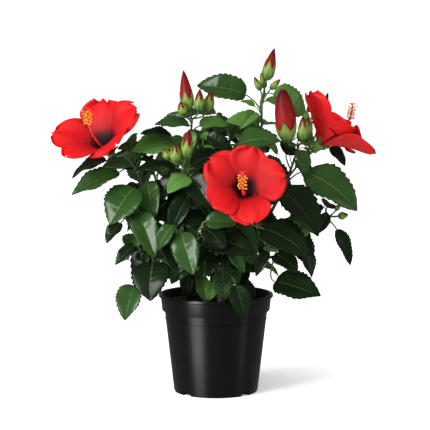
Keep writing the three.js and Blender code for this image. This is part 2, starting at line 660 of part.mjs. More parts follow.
// A petal: narrow in the throat, broad and rounded outside, one side over its neighbour, its rim ruffled.
function petalPlace(bloom, k) {
  const axis = vec(...bloom.faces).normalize();
  const right = UP.clone().cross(axis).normalize();
  const top = axis.clone().cross(right);
  const [turn, share] = bloom.petals[k];
  const out = right.clone().multiplyScalar(Math.cos(rad(turn))).addScaledVector(top, Math.sin(rad(turn)));
  const across = axis.clone().cross(out);
  const throat = vec(...bloom.throat);
  const size = bloom.radius;
  return (u, v) => {
    const reach = size * (0.05 + (share - 0.05) * u ** 1.45);
    const rise = size * (-0.5 * (1 - u) ** 2.2 + 0.42 * u ** 1.5 - 0.16 * u ** 4);
    const half = size * (0.03 + 0.62 * THREE.MathUtils.smoothstep(u, 0, 1)) * Math.sqrt(1 - PETAL.blunt * u ** 7);
    const lap = size * (0.055 * v * u + 0.03 * u ** 3 * Math.sin(6.5 * v + 1.9 * k));
    return throat
      .clone()
      .addScaledVector(out, reach - (0.3 / size) * (half * v) ** 2)
      .addScaledVector(across, half * v)
      .addScaledVector(axis, rise + lap);
  };
}

const petalRow = (share) => 1 - (1 - share) ** 1.6;

function makeBloom(bloom) {
  const { rows, cols } = PETAL;
  const throat = vec(...bloom.throat);
  const axis = vec(...bloom.faces).normalize();
  const base = throat.clone().addScaledVector(axis, -0.6 * bloom.radius);
  const main = shootCurve(bloom.shoot);
  const start = main.getPoint(bloom.up);
  if (bloom.up === 1) start.addScaledVector(main.getTangent(1), 1 + GAP);
  const stalk = stalkCurve(start, base.clone().addScaledVector(axis, 2), axis);
  const petals = bloom.petals.map((_, k) => {
    const place = petalPlace(bloom, k);
    const sheet = Array.from({ length: 5 }, (_, i) => [-1, 0, 1].map((v) => place(petalRow(i / 4), v)));
    taken.push(claimSheet("bloom", sheet, 2.5));
    return blade(rows, cols, (i, j) => place(petalRow(i / rows), (2 * j) / cols - 1), PETAL.thickness);
  });
  const cup = turnedBody(base, throat, [[-0.02, 0], [0, 3], [0.3, 6], [0.62, 7.6], [0.5, 0]], 7);
  const tip = throat.clone().addScaledVector(axis, COLUMN.reach).addScaledVector(UP, COLUMN.rise);
  const column = limb(stalkCurve(base.clone().addScaledVector(axis, 4), tip, UP), 0, 1, (t) => mix(2, 1.2, t), 4, 2);
  const brushFoot = throat.clone().lerp(tip, 0.55);
  const brush = turnedBody(brushFoot, tip, [[0, 0], [0.12, 4], [0.6, 5.4], [0.95, 3], [1.1, 0]], 5);
  claimCurve("bloom", stalk, 0.1, 1, 1.6, 5);
  claimCurve("bloom", new THREE.LineCurve3(base, throat), 0, 1, 8, 1);
  const stalkSolid = limb(stalk, 0, 1, (t) => mix(1.4, 1.9, t), 4, 3);
  const sleeve = limb(main, BOUGH.end, 1, (t) => boughRadius(t) + GAP, BOUGH.sides, 8);
  return largest(join([...petals, cup, column, brush, stalkSolid]).subtract(sleeve));
}

// Materials
const finish = (color, roughness) => new THREE.MeshStandardMaterial({ color, roughness, metalness: 0 });
const MATERIALS = {
  pot: finish("#1d1d1f", 0.42),
  soil: finish("#33231a", 0.95),
  bark: finish("#5c4a37", 0.85),
  leaf: finish("#1f4a24", 0.45),
  petal: finish("#df1a1e", 0.55),
  bud: finish("#6f9a35", 0.55),
};

// The whole plant
const plant = new THREE.Group();
const seeds = Object.fromEntries(Object.keys(SHOOTS).map((name, k) => [name, k + 1]));

function add(name, manifold, material) {
  const mesh = new THREE.Mesh(geometryOf(manifold), MATERIALS[material]);
  mesh.name = name;
  plant.add(mesh);
}

add("pot", makePot(), "pot");
add("soil", makeSoil(), "soil");

for (const name of Object.keys(STEMS)) {
  const curve = stemCurve(name);
  const ground = new THREE.BoxGeometry(2 * POT.lip, 2 * POT.lip, 20).translate(0, 0, SOIL.top + GAP - 10);
  const stem = limb(curve, 0, 1, stemRadius, STEM.sides, STEM.steps).subtract(solid(ground));
  claimCurve("stem", curve, 0, 1, STEM.foot, STEM.steps);
  add(`stem_${name}`, stem, "bark");
}

for (const name of Object.keys(SHOOTS)) {
  const curve = shootCurve(name);
  const sleeve = limb(stemCurve(SHOOTS[name].stem), 0, 1, (t) => stemRadius(t) + GAP, STEM.sides, STEM.steps);
  const bough = limb(curve, 0, BOUGH.end, boughRadius, BOUGH.sides, BOUGH.steps);
  add(`bough_${name}`, largest(bough.subtract(sleeve)), "bark");
  claimCurve("bough", curve, 0, BOUGH.end, BOUGH.foot, BOUGH.steps);
  claimCurve(name, curve, massStart(curve), 1, BOUGH.neck, MASS.steps);
  claimCurve(name, sideTwig(name, seeds[name]), 0, 1, SIDE_TWIG.foot, 1);
}

for (const name of Object.keys(BLOOMS)) add(`bloom_${name}`, makeBloom(BLOOMS[name]), "petal");
for (const name of Object.keys(BUDS)) add(`buds_${name}`, makeSpray(BUDS[name]), "bud");

const leaves = Object.fromEntries(Object.keys(SHOOTS).map((name) => [name, []]));

function take(plan, aimed = false) {
  const claims = leafClaims(plan);
  if (!settles(claims, shootCurve(plan.home), aimed)) return false;
  taken.push(claims.sheet, claims.stalk);
  leaves[plan.home].push(plan);
  return true;
}

for (const [name, outline] of Object.entries(OUTLINE_LEAVES)) {
  for (const leaf of outline) take(aimedLeaf(name, leaf), true);
}

// The shoots take their leaves in turn, place by place.
const places = Object.fromEntries(Object.keys(SHOOTS).map((name) => [name, leafPlaces(name, seeds[name])]));
const rounds = Math.max(...Object.values(places).map((list) => list.length));
for (let slot = 0; slot < rounds; slot++) {
  for (const name of Object.keys(SHOOTS)) {
    if (slot >= places[name].length) continue;
    for (let attempt = 0; attempt < LEAF.tries; attempt++) {
      if (take(leafTry(name, places[name][slot], slot, attempt))) break;
    }
  }
}

for (const name of Object.keys(SHOOTS)) {
  const curve = shootCurve(name);
  const main = limb(curve, massStart(curve), 1, boughRadius, MASS.sides, MASS.steps);
  const twigRadius = (t) => mix(SIDE_TWIG.foot, SIDE_TWIG.tip, t);
  const twig = limb(sideTwig(name, seeds[name]), 0, 1, twigRadius, SIDE_TWIG.sides, 1);
  add(`leaves_${name}`, join([main, twig, ...leaves[name].map(leafSolid)]), "leaf");
}

export default plant;
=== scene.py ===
# %% [markdown]
# # A potted hibiscus shrub
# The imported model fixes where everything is: four woody stems in a nursery pot, nineteen leafy shoots,
# three open blooms and six sprays of buds. This script grows the living surface on that frame. The
# limbs get bark, each shoot gets toothed leaves on curved stalks, and the blooms get ruffled petals.

# %% Load the frame
import json
import math

import bpy
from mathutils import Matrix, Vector
from mathutils.bvhtree import BVHTree

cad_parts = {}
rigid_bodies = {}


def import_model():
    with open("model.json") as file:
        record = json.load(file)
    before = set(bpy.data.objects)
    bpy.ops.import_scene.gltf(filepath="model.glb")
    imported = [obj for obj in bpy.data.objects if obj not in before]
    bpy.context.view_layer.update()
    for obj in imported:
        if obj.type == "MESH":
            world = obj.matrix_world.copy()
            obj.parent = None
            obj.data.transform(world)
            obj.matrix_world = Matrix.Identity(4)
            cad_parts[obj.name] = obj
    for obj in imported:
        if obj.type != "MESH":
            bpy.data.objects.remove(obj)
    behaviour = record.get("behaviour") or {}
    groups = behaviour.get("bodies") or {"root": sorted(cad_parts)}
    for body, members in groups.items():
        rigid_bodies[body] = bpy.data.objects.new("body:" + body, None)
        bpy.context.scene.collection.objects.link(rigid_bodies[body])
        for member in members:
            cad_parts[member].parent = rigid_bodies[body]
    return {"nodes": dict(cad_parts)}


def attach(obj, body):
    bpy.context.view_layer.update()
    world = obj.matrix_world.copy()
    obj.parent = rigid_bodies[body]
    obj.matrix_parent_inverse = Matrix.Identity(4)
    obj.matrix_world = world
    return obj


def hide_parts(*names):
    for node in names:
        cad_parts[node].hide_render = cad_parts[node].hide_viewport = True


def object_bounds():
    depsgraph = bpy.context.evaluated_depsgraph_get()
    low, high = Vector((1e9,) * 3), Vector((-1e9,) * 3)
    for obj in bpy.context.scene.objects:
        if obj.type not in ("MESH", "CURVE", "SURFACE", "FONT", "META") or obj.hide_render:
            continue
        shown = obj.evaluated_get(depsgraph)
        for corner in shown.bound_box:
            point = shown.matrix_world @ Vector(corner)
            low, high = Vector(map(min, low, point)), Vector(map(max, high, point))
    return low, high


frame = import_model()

cad_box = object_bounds()
MM = 0.001
print("solids in the frame:", len(frame["nodes"]))

# %% [markdown]
# ## Numbers and directions
# Growth looks random but has to come out the same every time, so each leaf takes its numbers from a
# formula on its own place in the plant. The source of the solids uses the same formula, and so the
# leaves of this script come out on the very places of the solid ones. Sizes are in millimetres, as
# there, and turn to metres where a mesh is made.

# %% Small helpers


def vec(x, y, z):
    return Vector((x, y, z))


def mix(a, b, t):
    return a + (b - a) * t


def clamp(x, low, high):
    return max(low, min(high, x))


def smooth(x):
    x = clamp(x, 0, 1)
    return x * x * (3 - 2 * x)


def chance(seed, index, channel):
    s = math.sin(seed * 12.9898 + index * 78.233 + channel * 37.719) * 43758.5453
    return s - math.floor(s)


def heading(turn, rise):
    """A way to go: degrees round the vertical from the right, and degrees above the level."""
    turn, rise = math.radians(turn), math.radians(rise)
    return vec(math.cos(turn) * math.cos(rise), math.sin(turn) * math.cos(rise), math.sin(rise))


class Bend:
    """A smooth bend from start to end that sets off towards a corner point."""

    def __init__(self, start, corner, end):
        self.start, self.corner, self.end = start, corner, end

    def at(self, t):
        return self.start * (1 - t) ** 2 + self.corner * (2 * t * (1 - t)) + self.end * t**2

    def along(self, t):
        return ((self.corner - self.start) * (1 - t) + (self.end - self.corner) * t).normalized()

    def length(self):
        points = [self.at(k / 200) for k in range(201)]
        return sum((b - a).length for a, b in zip(points, points[1:]))


print("the same place gives the same number:", round(chance(1, 2, 3), 4))

# %% [markdown]
# ## The plant's plan
# The same named places as in the source: where each stem stands, where each shoot leaves it and ends,
# the leaves that draw the crown's outline, and the blooms and buds.

# %% Sizes of limbs and leaves
GAP = 0.35
SOIL_TOP = 103
STEM = {"foot": 4.2, "tip": 2.9, "flare": 0.55, "sunk": 3}
BOUGH = {"foot": 2.5, "neck": 1.8, "tip": 1.2, "end": 0.45}
SIDE_TWIG = {"foot": 1.1, "tip": 0.7, "leaves": 3}
MASS_STEPS = 3
LEAF = {"width": 0.78, "tries": 9}
CROWN_AXIS = vec(0, 10, 200)
GOLDEN_TURN = 137.5
SIGHT = vec(0, -math.cos(0.112), math.sin(0.112))

# Curl down to the tip and fold of the halves in degrees, and breadth.
HABITS = [(22, 16, 1.0), (42, 10, 1.08), (60, 20, 0.94), (34, 28, 0.88)]

STEMS = {
    "left": ((-20, -6), (-42, -12, 192)),
    "front": ((6, -20), (2, -34, 182)),
    "right": ((25, 2), (50, -8, 196)),
    "back": ((-4, 22), (2, 44, 200)),
}
print("stems:", len(STEMS), "ways a leaf can hang:", len(HABITS))

# %% [markdown]
# A shoot is a bough with a mass of leaves of its own. It leaves its stem at a share of the stem's
# height. Six of them grow at the back, where the photograph shows nothing, so that the crown is full
# from all sides.

# %% Shoots: stem, share of its height, tip, leaves, blade length, first turn
SHOOTS = {
    "left_bloom": ("left", 0.84, (-98, -35, 278), 5, 56, 190),
    "upper_left": ("left", 0.99, (-27, -14, 312), 6, 50, 200),
    "left_middle": ("left", 0.64, (-96, -40, 226), 5, 58, 215),
    "low_left": ("left", 0.48, (-84, -48, 160), 5, 60, 235),
    "back_left": ("left", 0.74, (-76, 84, 252), 7, 60, 100),
    "front": ("front", 0.82, (26, -62, 222), 6, 56, 320),
    "middle_left": ("front", 0.99, (-36, -58, 264), 6, 52, 240),
    "front_low": ("front", 0.5, (4, -82, 158), 6, 56, 300),
    "front_left_low": ("front", 0.66, (-44, -84, 190), 6, 58, 220),
    "top": ("right", 0.99, (52, 0, 328), 6, 50, 38),
    "upper_right": ("right", 0.82, (93, -22, 284), 6, 50, 80),
    "right": ("right", 0.7, (126, -30, 204), 6, 56, 20),
    "low_right": ("right", 0.46, (82, -54, 160), 6, 58, 310),
    "back_low_right": ("right", 0.58, (74, 88, 170), 7, 62, 40),
    "centre": ("back", 0.84, (16, 0, 292), 6, 54, 150),
    "back_top": ("back", 0.99, (8, 78, 306), 7, 58, 80),
    "back_right": ("back", 0.74, (96, 84, 252), 6, 62, 60),
    "back_middle": ("back", 0.62, (2, 116, 222), 7, 62, 90),
    "back_low_left": ("back", 0.48, (-66, 86, 172), 7, 62, 130),
}
SEEDS = {name: k + 1 for k, name in enumerate(SHOOTS)}
print("shoots:", len(SHOOTS))

# %% [markdown]
# Against the white ground a few leaves draw the crown's outline, so they are set out one by one: where
# the blade starts, where it ends, and which way its upper face looks. All others follow the rule.

# %% Outline leaves: up the shoot, foot, tip, habit, turn and lift of the upper face, breadth
OUTLINE_LEAVES = {
    "top": [
        (0.95, (34, 18, 339), (-22, 26, 349), 2, 265, 30, 0.92),
        (0.9, (66, 44, 339), (105, 60, 315), 1, 255, 35, 1.1),
        (0.78, (49, 0, 305), (11, -12, 310), 2, 270, 40, 1),
    ],
    "centre": [(0.95, (24, -42, 287), (71, -54, 291), 1, 265, 45, 1)],
    "upper_right": [
        (0.6, (102, -26, 254), (158, -42, 212), 1, 285, 35, 0.9),
        (0.95, (106, 18, 280), (104, 19, 322), 0, 240, 10, 0.7),
        (0.62, (74, -52, 237), (113, -73, 187), 3, 275, 45, 1.15),
    ],
    "back_right": [(0.97, (133, 52, 277), (150, 46, 255), 0, 290, 30, 0.85)],
    "right": [
        (0.97, (136, -30, 190), (151, -38, 150), 0, 290, 10, 0.6),
        (0.7, (94, -38, 176), (107, -50, 138), 0, 315, 10, 0.9),
        (0.88, (125, -34, 209), (113, -40, 186), 0, 290, 30, 0.8),
    ],
    "front": [(0.7, (53, -66, 195), (101, -88, 167), 1, 280, 35, 1)],
    "low_right": [
        (0.8, (66, -60, 166), (90, -78, 147), 1, 280, 40, 1),
        (0.62, (66, -55, 134), (116, -80, 122), 0, 280, 40, 1.1),
        (0.72, (58, -64, 169), (44, -70, 142), 3, 262, 30, 0.8),
        (0.9, (81, -56, 161), (53, -60, 152), 0, 270, 40, 0.9),
    ],
    "front_left_low": [(0.7, (-31, -50, 166), (-50, -60, 132), 0, 262, 30, 1)],
    "front_low": [(0.85, (22, -76, 134), (32, -81, 97), 0, 275, 15, 1)],
    "upper_left": [
        (0.97, (-30, -24, 307), (-69, -35, 308), 0, 265, 62, 1),
        (0.85, (-49, -30, 294), (-85, -40, 298), 0, 265, 65, 1),
        (0.72, (-48, -24, 288), (-94, -36, 278), 1, 260, 45, 1),
    ],
    "middle_left": [
        (0.95, (-46, -42, 261), (-90, -54, 258), 0, 265, 70, 1),
        (0.8, (-30, -74, 253), (-53, -92, 237), 1, 260, 40, 1),
    ],
    "left_bloom": [
        (0.95, (-108, -46, 256), (-160, -62, 232), 0, 255, 50, 0.8),
        (0.9, (-122, -42, 269), (-161, -40, 248), 1, 240, 65, 0.9),
        (0.8, (-95, -46, 264), (-126, -60, 263), 0, 260, 60, 1.2),
        (0.9, (-85, -22, 284), (-111, -24, 280), 0, 265, 45, 0.9),
    ],
    "left_middle": [
        (0.97, (-91, -50, 239), (-117, -72, 200), 1, 250, 35, 1.25),
        (0.8, (-107, -42, 199), (-122, -54, 177), 0, 245, 25, 0.95),
        (0.72, (-86, -58, 212), (-67, -82, 164), 3, 265, 30, 1),
    ],
    "low_left": [
        (0.97, (-91, -54, 175), (-112, -63, 154), 0, 250, 30, 0.85),
        (0.82, (-70, -64, 158), (-72, -86, 117), 1, 262, 25, 1.3),
        (0.6, (-91, -60, 131), (-101, -78, 94), 3, 250, 20, 1.4),
    ],
}
print("leaves of the outline:", sum(len(plans) for plans in OUTLINE_LEAVES.values()))

# %% [markdown]
# Three blooms are open: one faces the camera, one looks up at the left, one turns away at the right. A
# bloom has five petals that overlap round its throat, and no two of them are quite the same size.

# %% Blooms: shoot, how far up it, throat, the way it faces, radius, turn and size of each petal
BLOOMS = {
    "front": (
        "front",
        1,
        (31, -98, 245),
        (-0.07, -0.93, 0.37),
        44,
        [(10, 1.02), (78, 0.95), (145, 1.06), (212, 0.94), (284, 1.03)],
    ),
    "left": (
        "left_bloom",
        1,
        (-127, -46, 295),
        (-0.36, -0.58, 0.73),
        49,
        [(188, 1.15), (108, 0.95), (45, 1), (324, 0.88), (244, 0.96)],
    ),
    "right": (
        "upper_right",
        0.86,
        (129, 1, 297),
        (0.66, 0.31, 0.69),
        47,
        [(14, 1.03), (93, 1.11), (174, 0.87), (224, 1.18), (308, 1.03)],
    ),
}
COLUMN = {"reach": 40, "rise": 2}
print("blooms:", len(BLOOMS))

# %% [markdown]
# Buds stand in sprays at the ends of shoots. A young bud is nearly all green calyx. In an old one the
# rolled petals stand far out of it, so each bud says what share of it the calyx wraps.

# %% Buds of each spray: foot, tip, width, share wrapped by the calyx
BUDS = {
    "top": (
        "top",
        [
            ((57, 0, 357), (66, 0, 393), 13.5, 0.55),
            ((50, -6, 346), (43, -9, 361), 7, 0.8),
            ((62, -4, 347), (73, -5, 358), 7, 0.8),
            ((55, 5, 348), (51, 8, 365), 7, 0.8),
        ],
    ),
    "left": (
        "upper_left",
        [
            ((-31, -18, 322), (-36.5, -20, 369), 15, 0.45),
            ((-19, -22, 323), (-18, -24, 348), 11, 0.7),
            ((-10, -12, 322), (-5, -12, 345), 12, 0.75),
            ((-36, -24, 319), (-40, -30, 334), 11, 0.8),
        ],
    ),
    "middle": (
        "middle_left",
        [
            ((-33, -68, 275), (-29.5, -73, 306), 13, 0.6),
            ((-44, -68, 270), (-45, -76, 291), 12, 0.8),
            ((-52, -58, 272), (-58, -60, 284), 9, 0.8),
        ],
    ),
    "right": (
        "upper_right",
        [
            ((80, -34, 289), (74, -37, 349), 24, 0.33),
            ((97, -36, 291), (97, -38, 319), 11, 0.75),
            ((101, -18, 293), (104, -16, 316), 10, 0.8),
        ],
    ),
    "far_right": ("back_right", [((119, 72, 296), (131, 66, 340), 12, 0.6)]),
    "low": (
        "right",
        [
            ((138, -30, 205), (149, -31, 207), 8, 0.8),
            ((135, -30, 212), (140, -31, 220), 5, 0.8),
        ],
    ),
}
print("buds:", sum(len(spray[1]) for spray in BUDS.values()))

# %% [markdown]
# ## Meshes and materials by one function each
# A mesh here is a list of points and faces, with the number of a material for each face.

# %% Make an object


def new_piece(name, points, faces, materials, which=None):
    mesh = bpy.data.meshes.new(name)
    mesh.from_pydata([tuple(p * MM) for p in points], [], faces)
    for material in materials:
        mesh.materials.append(material)
    if which:
        mesh.polygons.foreach_set("material_index", which)
    mesh.polygons.foreach_set("use_smooth", [True] * len(mesh.polygons))
    obj = bpy.data.objects.new(name, mesh)
    bpy.context.collection.objects.link(obj)
    return obj


print("a millimetre is", MM, "of the frame's units")

# %% [markdown]
# Points and faces are gathered first and become one mesh at the end. A face keeps the number of its
# material, and a point keeps its place on the surface, which becomes the UV map.

# %% Gather a skin


class Skin:
    """Points, faces and face kinds that are gathered before they become one mesh."""

    def __init__(self):
        self.points, self.faces, self.kinds, self.places = [], [], [], []

    def point(self, p, place=(0, 0)):
        self.points.append(p)
        self.places.append(place)
        return len(self.points) - 1

    def face(self, corners, kind=0):
        kept = [c for k, c in enumerate(corners) if c != corners[k - 1]]
        if len(kept) > 2:
            self.faces.append(kept)
            self.kinds.append(kind)

    def piece(self, name, materials, with_uv=False):
        obj = new_piece(name, self.points, self.faces, materials, self.kinds)
        if with_uv:
            layer = obj.data.uv_layers.new(name="UVMap")
            for corner in obj.data.loops:
                layer.data[corner.index].uv = self.places[corner.vertex_index]
        return obj


print("a new skin has", len(Skin().faces), "faces")

# %% [markdown]
# A leaf or a petal is a thin sheet, laid out in rows and columns and closed into a skin with two faces
# and a shared rim. A Solidify modifier could thicken it too, but leaves a blunt edge all round, and a
# real leaf thins out to its rim.

# %% Thin sheets


def thin_sheet(skin, place, rows, across, thickness, kind):
    """A closed skin over place(row share, side), as thick as given inside and sharp at its rim."""
    grid = [[place(s, a) for a in across] for s in rows]
    last_row, last_col = len(rows) - 1, len(across) - 1
    top, under = [], []
    for i, row in enumerate(grid):
        top.append([])
        under.append([])
        for j, p in enumerate(row):
            mark = (0.5 + 0.5 * across[j], rows[i])
            if j and (p - row[j - 1]).length < 1e-4:
                top[i].append(top[i][-1])
                under[i].append(under[i][-1])
                continue
            rim = i in (0, last_row) or j in (0, last_col)
            ahead = grid[min(i + 1, last_row)][j] - grid[max(i - 1, 0)][j]
            aside = row[min(j + 1, last_col)] - row[max(j - 1, 0)]
            normal = aside.cross(ahead).normalized() * (0 if rim else thickness / 2)
            top[i].append(skin.point(p + normal, mark))
            under[i].append(top[i][-1] if rim else skin.point(p - normal, mark))
    for i in range(last_row):
        for j in range(last_col):
            a, b, c, d = (i, j), (i, j + 1), (i + 1, j + 1), (i + 1, j)
            skin.face([top[y][x] for y, x in (a, b, c, d)], kind(i, j, False))
            skin.face([under[y][x] for y, x in (d, c, b, a)], kind(i, j, True))


sheet = Skin()
thin_sheet(sheet, lambda share, side: vec(share, side, 0), (0, 0.5, 1), (-1, 0, 1), 0.1, lambda *_: 0)
print("a sheet of four squares has", len(sheet.faces), "faces and", len(sheet.points), "points")

# %% [markdown]
# A bud, a calyx or a stigma pad is a stack of rings round an axis. A Screw modifier turns a plain
# outline, but folds and lobes need a radius that also changes on the way round.

# %% Turned bodies


def spokes(axis, count, first=0):
    """Directions at right angles to an axis, evenly spaced round it."""
    side = axis.orthogonal().normalized()
    other = axis.cross(side)
    turns = [2 * math.pi * (k + first) / count for k in range(count)]
    return [side * math.cos(turn) + other * math.sin(turn) for turn in turns]


def turned(skin, foot, tip, ring_at, rings, sides):
    """A closed round body from foot to tip. ring_at(share, turn) gives the radius in millimetres,
    and the share of the height where the point really lies."""
    low, high = (skin.point(foot + (tip - foot) * rings[end]) for end in (0, -1))
    around = spokes((tip - foot).normalized(), sides)
    loops = []
    for share in rings[1:-1]:
        loop = []
        for k, spoke in enumerate(around):
            radius, along = ring_at(share, 2 * math.pi * k / sides)
            loop.append(skin.point(foot + (tip - foot) * along + spoke * radius, (k / sides, share)))
        loops.append(loop)
    for k in range(sides):
        n = (k + 1) % sides
        skin.face([low, loops[0][n], loops[0][k]])
        skin.face([high, loops[-1][k], loops[-1][n]])
        for a, b in zip(loops, loops[1:]):
            skin.face([a[k], a[n], b[n], b[k]])


print("first spoke of five:", tuple(round(x, 2) for x in spokes(vec(0, 0, 1), 5)[0]))

# %% [markdown]
# ### How a material is put together
# Every material is one Principled shader, so that it looks the same in other programs. Its colours are
# written as the hex values of a paint chip and turned to the linear light that Blender works in. One
# small function adds a node, to a material or to a Geometry Nodes tree.

# %% Nodes, colours and materials


def node(tree, kind, inputs=None, stops=(), **settings):
    """Adds a node. Each input is a value, a socket, or a node that stands for its own first output.
    Stops are the (position, hex colour) pairs of a colour ramp, from first to last."""
    made = tree.nodes.new(kind)
    for k, (position, colour) in enumerate(stops):
        stop = made.color_ramp.elements[k] if k < 2 else made.color_ramp.elements.new(position)
        stop.position, stop.color = position, linear(colour)
    for name, value in settings.items():
        setattr(made, name, value)
    for name, value in (inputs or {}).items():
        if isinstance(value, bpy.types.Node):
            value = value.outputs[0]
        if isinstance(value, bpy.types.NodeSocket):
            tree.links.new(value, made.inputs[name])
        else:
            made.inputs[name].default_value = value
    return made


def linear(hex_colour):
    shares = [int(hex_colour[k : k + 2], 16) / 255 for k in (1, 3, 5)]
    return tuple(s / 12.92 if s <= 0.04045 else ((s + 0.055) / 1.055) ** 2.4 for s in shares) + (1,)


def new_material(name, colour, roughness, **sockets):
    material = bpy.data.materials.new(name)
    material.use_nodes = True
    shader = material.node_tree.nodes["Principled BSDF"]
    shader.inputs["Base Color"].default_value = linear(colour)
    shader.inputs["Roughness"].default_value = roughness
    for socket, value in sockets.items():
        shader.inputs[socket.replace("_", " ")].default_value = value
    material.diffuse_color = linear(colour)
    return material, material.node_tree, shader


print("mid grey in linear light:", round(linear("#808080")[0], 3))

# %% [markdown]
# ### Pot: injection-moulded polypropylene
# A nursery pot is black polypropylene, moulded in a spark-eroded tool. The tool leaves a fine satin
# grain of a few tenths of a millimetre, so the wall shows one broad soft highlight and no sharp
# reflection. The tool was turned on a lathe, and its fine rings draw each highlight out up and down the
# wall.

# %% Pot material
polypropylene, tree, shader = new_material(
    "black polypropylene",
    "#050506",
    0.38,
    IOR=1.49,
    Specular_IOR_Level=0.5,
    Anisotropic=0.9,
    Anisotropic_Rotation=0.25,
)
coords = node(tree, "ShaderNodeTexCoord").outputs["Object"]
GRAIN = 0.6 * MM
grain = node(tree, "ShaderNodeTexNoise", {"Vector": coords, "Scale": 1 / GRAIN, "Detail": 2})
bump = node(tree, "ShaderNodeBump", {"Height": grain, "Strength": 0.12, "Distance": 0.1 * MM})
tree.links.new(bump.outputs["Normal"], shader.inputs["Normal"])
rings = node(tree, "ShaderNodeTangent", direction_type="RADIAL", axis="Z")
tree.links.new(rings.outputs["Tangent"], shader.inputs["Tangent"])
print("pot:", polypropylene.name, "with a grain of", round(GRAIN / MM, 1), "mm")

# %% [markdown]
# ### Soil: peat and composted bark
# Damp peat is nearly black-brown and has no shine. Two browns, mixed in patches of about 6 mm, stand
# for peat and for the shreds of bark in it.

# %% Soil materials
peat, tree, shader = new_material("damp peat", "#2a1c14", 0.95)
coords = node(tree, "ShaderNodeTexCoord").outputs["Object"]
PATCH = 6 * MM
patches = node(tree, "ShaderNodeTexNoise", {"Vector": coords, "Scale": 1 / PATCH, "Detail": 5})
browns = node(tree, "ShaderNodeValToRGB", {"Fac": patches}, [(0.35, "#1d130d"), (0.7, "#49311f")])
tree.links.new(browns.outputs["Color"], shader.inputs["Base Color"])
bark_crumb = new_material("composted bark crumb", "#4a2f1c", 0.9)[0]
print("soil:", peat.name, "and", bark_crumb.name)

# %% [markdown]
# ### Bark: from brown wood to green shoot
# The old stems have thin grey-brown bark with corky patches about 2.5 mm wide and twice as long. Towards
# the tip the bark gives way to green skin, so twigs and leaf stalks each have their own plain colour.

# %% Bark materials
CORK = 2.5 * MM


def bark_material(name, dark, light, roughness):
    material, tree, shader = new_material(name, dark, roughness)
    coords = node(tree, "ShaderNodeTexCoord").outputs["Object"]
    stretched = node(tree, "ShaderNodeMapping", {"Vector": coords, "Scale": (1, 1, 0.35)})
    fibres = node(tree, "ShaderNodeTexNoise", {"Vector": stretched, "Scale": 1 / CORK, "Detail": 6})
    browns = node(tree, "ShaderNodeValToRGB", {"Fac": fibres}, [(0.35, dark), (0.68, light)])
    bump = node(tree, "ShaderNodeBump", {"Height": fibres, "Strength": 0.5, "Distance": 0.4 * MM})
    tree.links.new(browns.outputs["Color"], shader.inputs["Base Color"])
    tree.links.new(bump.outputs["Normal"], shader.inputs["Normal"])
    return material


stem_bark = bark_material("grey-brown bark", "#4a3b2b", "#8a7557", 0.85)
bough_bark = bark_material("young bark", "#33301e", "#5c5636", 0.7)
green_skin = new_material("green shoot skin", "#2c381b", 0.55)[0]
stalk_skin = new_material("leaf stalk skin", "#3d5a24", 0.5)[0]
print("bark:", ", ".join(m.name for m in (stem_bark, bough_bark, green_skin, stalk_skin)))

# %% [markdown]
# ### Leaves: waxed above, matt below
# A hibiscus leaf has a clear wax skin over deep green, so it shines in streaks where it faces the
# light. Its underside is paler and dull, and its midrib is light green. The leaves are joined by the
# hundred, so each of these is a plain colour of its own and is dealt out leaf by leaf. The tints are
# partly the leaf's age and partly painted light: the near-black deep tint is painted shade inside the
# crown, and the bright young tint is partly a painted highlight. Old leaves deep in the crown have lost
# some of their wax.

# %% Leaf materials: upper side, underside, midrib, shine
# The deep tint is near black: old leaves, and painted shade. The young tint is partly painted light.
LEAF_TINTS = {
    "deep": ("#0d1909", "#1c3014", "#1f3817", 0.22),
    "full": ("#203a16", "#314d23", "#345522", 0.36),
    "young": ("#3f6228", "#577536", "#577a31", 0.36),
}
leaf_skins = {}
for tint, (upper, under, midrib, shine) in LEAF_TINTS.items():
    leaf_skins[tint] = {
        "Upper": new_material(f"waxed {tint} leaf", upper, 0.26, IOR=1.45, Specular_IOR_Level=shine)[0],
        "Underside": new_material(f"{tint} leaf underside", under, 0.75)[0],
        "Midrib": new_material(f"{tint} midrib", midrib, 0.5)[0],
    }
print("leaf materials:", sum(len(skins) for skins in leaf_skins.values()))

# %% [markdown]
# ### Petals, stamens and buds
# A petal is a thin crepe of cells: saturated scarlet, no gloss, finely ribbed along its length, and
# dark maroon in the throat. Its colours follow the petal, so they read its own UV map, which runs from
# throat to rim.

# %% Petal materials
EYE = 0.34
CREPE = {"Specular_IOR_Level": 0.2, "Subsurface_Weight": 0.2, "Subsurface_Scale": 2 * MM}
RIBS = {"across": 26, "along": 1.6, "shade": 0.16, "height": 0.6 * MM}


def petal_material(name, colour, roughness, stops=()):
    """Ribbed scarlet tissue. Stops, where there are any, colour it from the throat to the rim."""
    material, tree, shader = new_material(name, colour, roughness, **CREPE)
    uv = node(tree, "ShaderNodeTexCoord").outputs["UV"]
    stretched = node(tree, "ShaderNodeMapping", {"Vector": uv, "Scale": (RIBS["across"], RIBS["along"], 1)})
    ribs = node(tree, "ShaderNodeTexNoise", {"Vector": stretched, "Scale": 1.0, "Detail": 3})
    bump = node(tree, "ShaderNodeBump", {"Height": ribs, "Strength": 0.35, "Distance": RIBS["height"]})
    tree.links.new(bump.outputs["Normal"], shader.inputs["Normal"])
    if stops:
        along = node(tree, "ShaderNodeSeparateXYZ", {"Vector": uv}).outputs["Y"]
        uneven = {0: ribs, 1: RIBS["shade"], 2: along}
        shifted = node(tree, "ShaderNodeMath", uneven, operation="MULTIPLY_ADD")
        reds = node(tree, "ShaderNodeValToRGB", {"Fac": shifted}, stops)
        tree.links.new(reds.outputs["Color"], shader.inputs["Base Color"])
    return material


eye_to_rim = [(EYE, "#100105"), (EYE + 0.1, "#4a060c"), (EYE + 0.2, "#90080d"), (0.9, "#a60d10")]
petal_crepe = petal_material("scarlet petal", "#e01a1e", 0.65, eye_to_rim)
petal_back = petal_material("scarlet petal outside", "#b00f12", 0.6)
print("the dark eye fills", round(100 * EYE), "% of a petal's length")

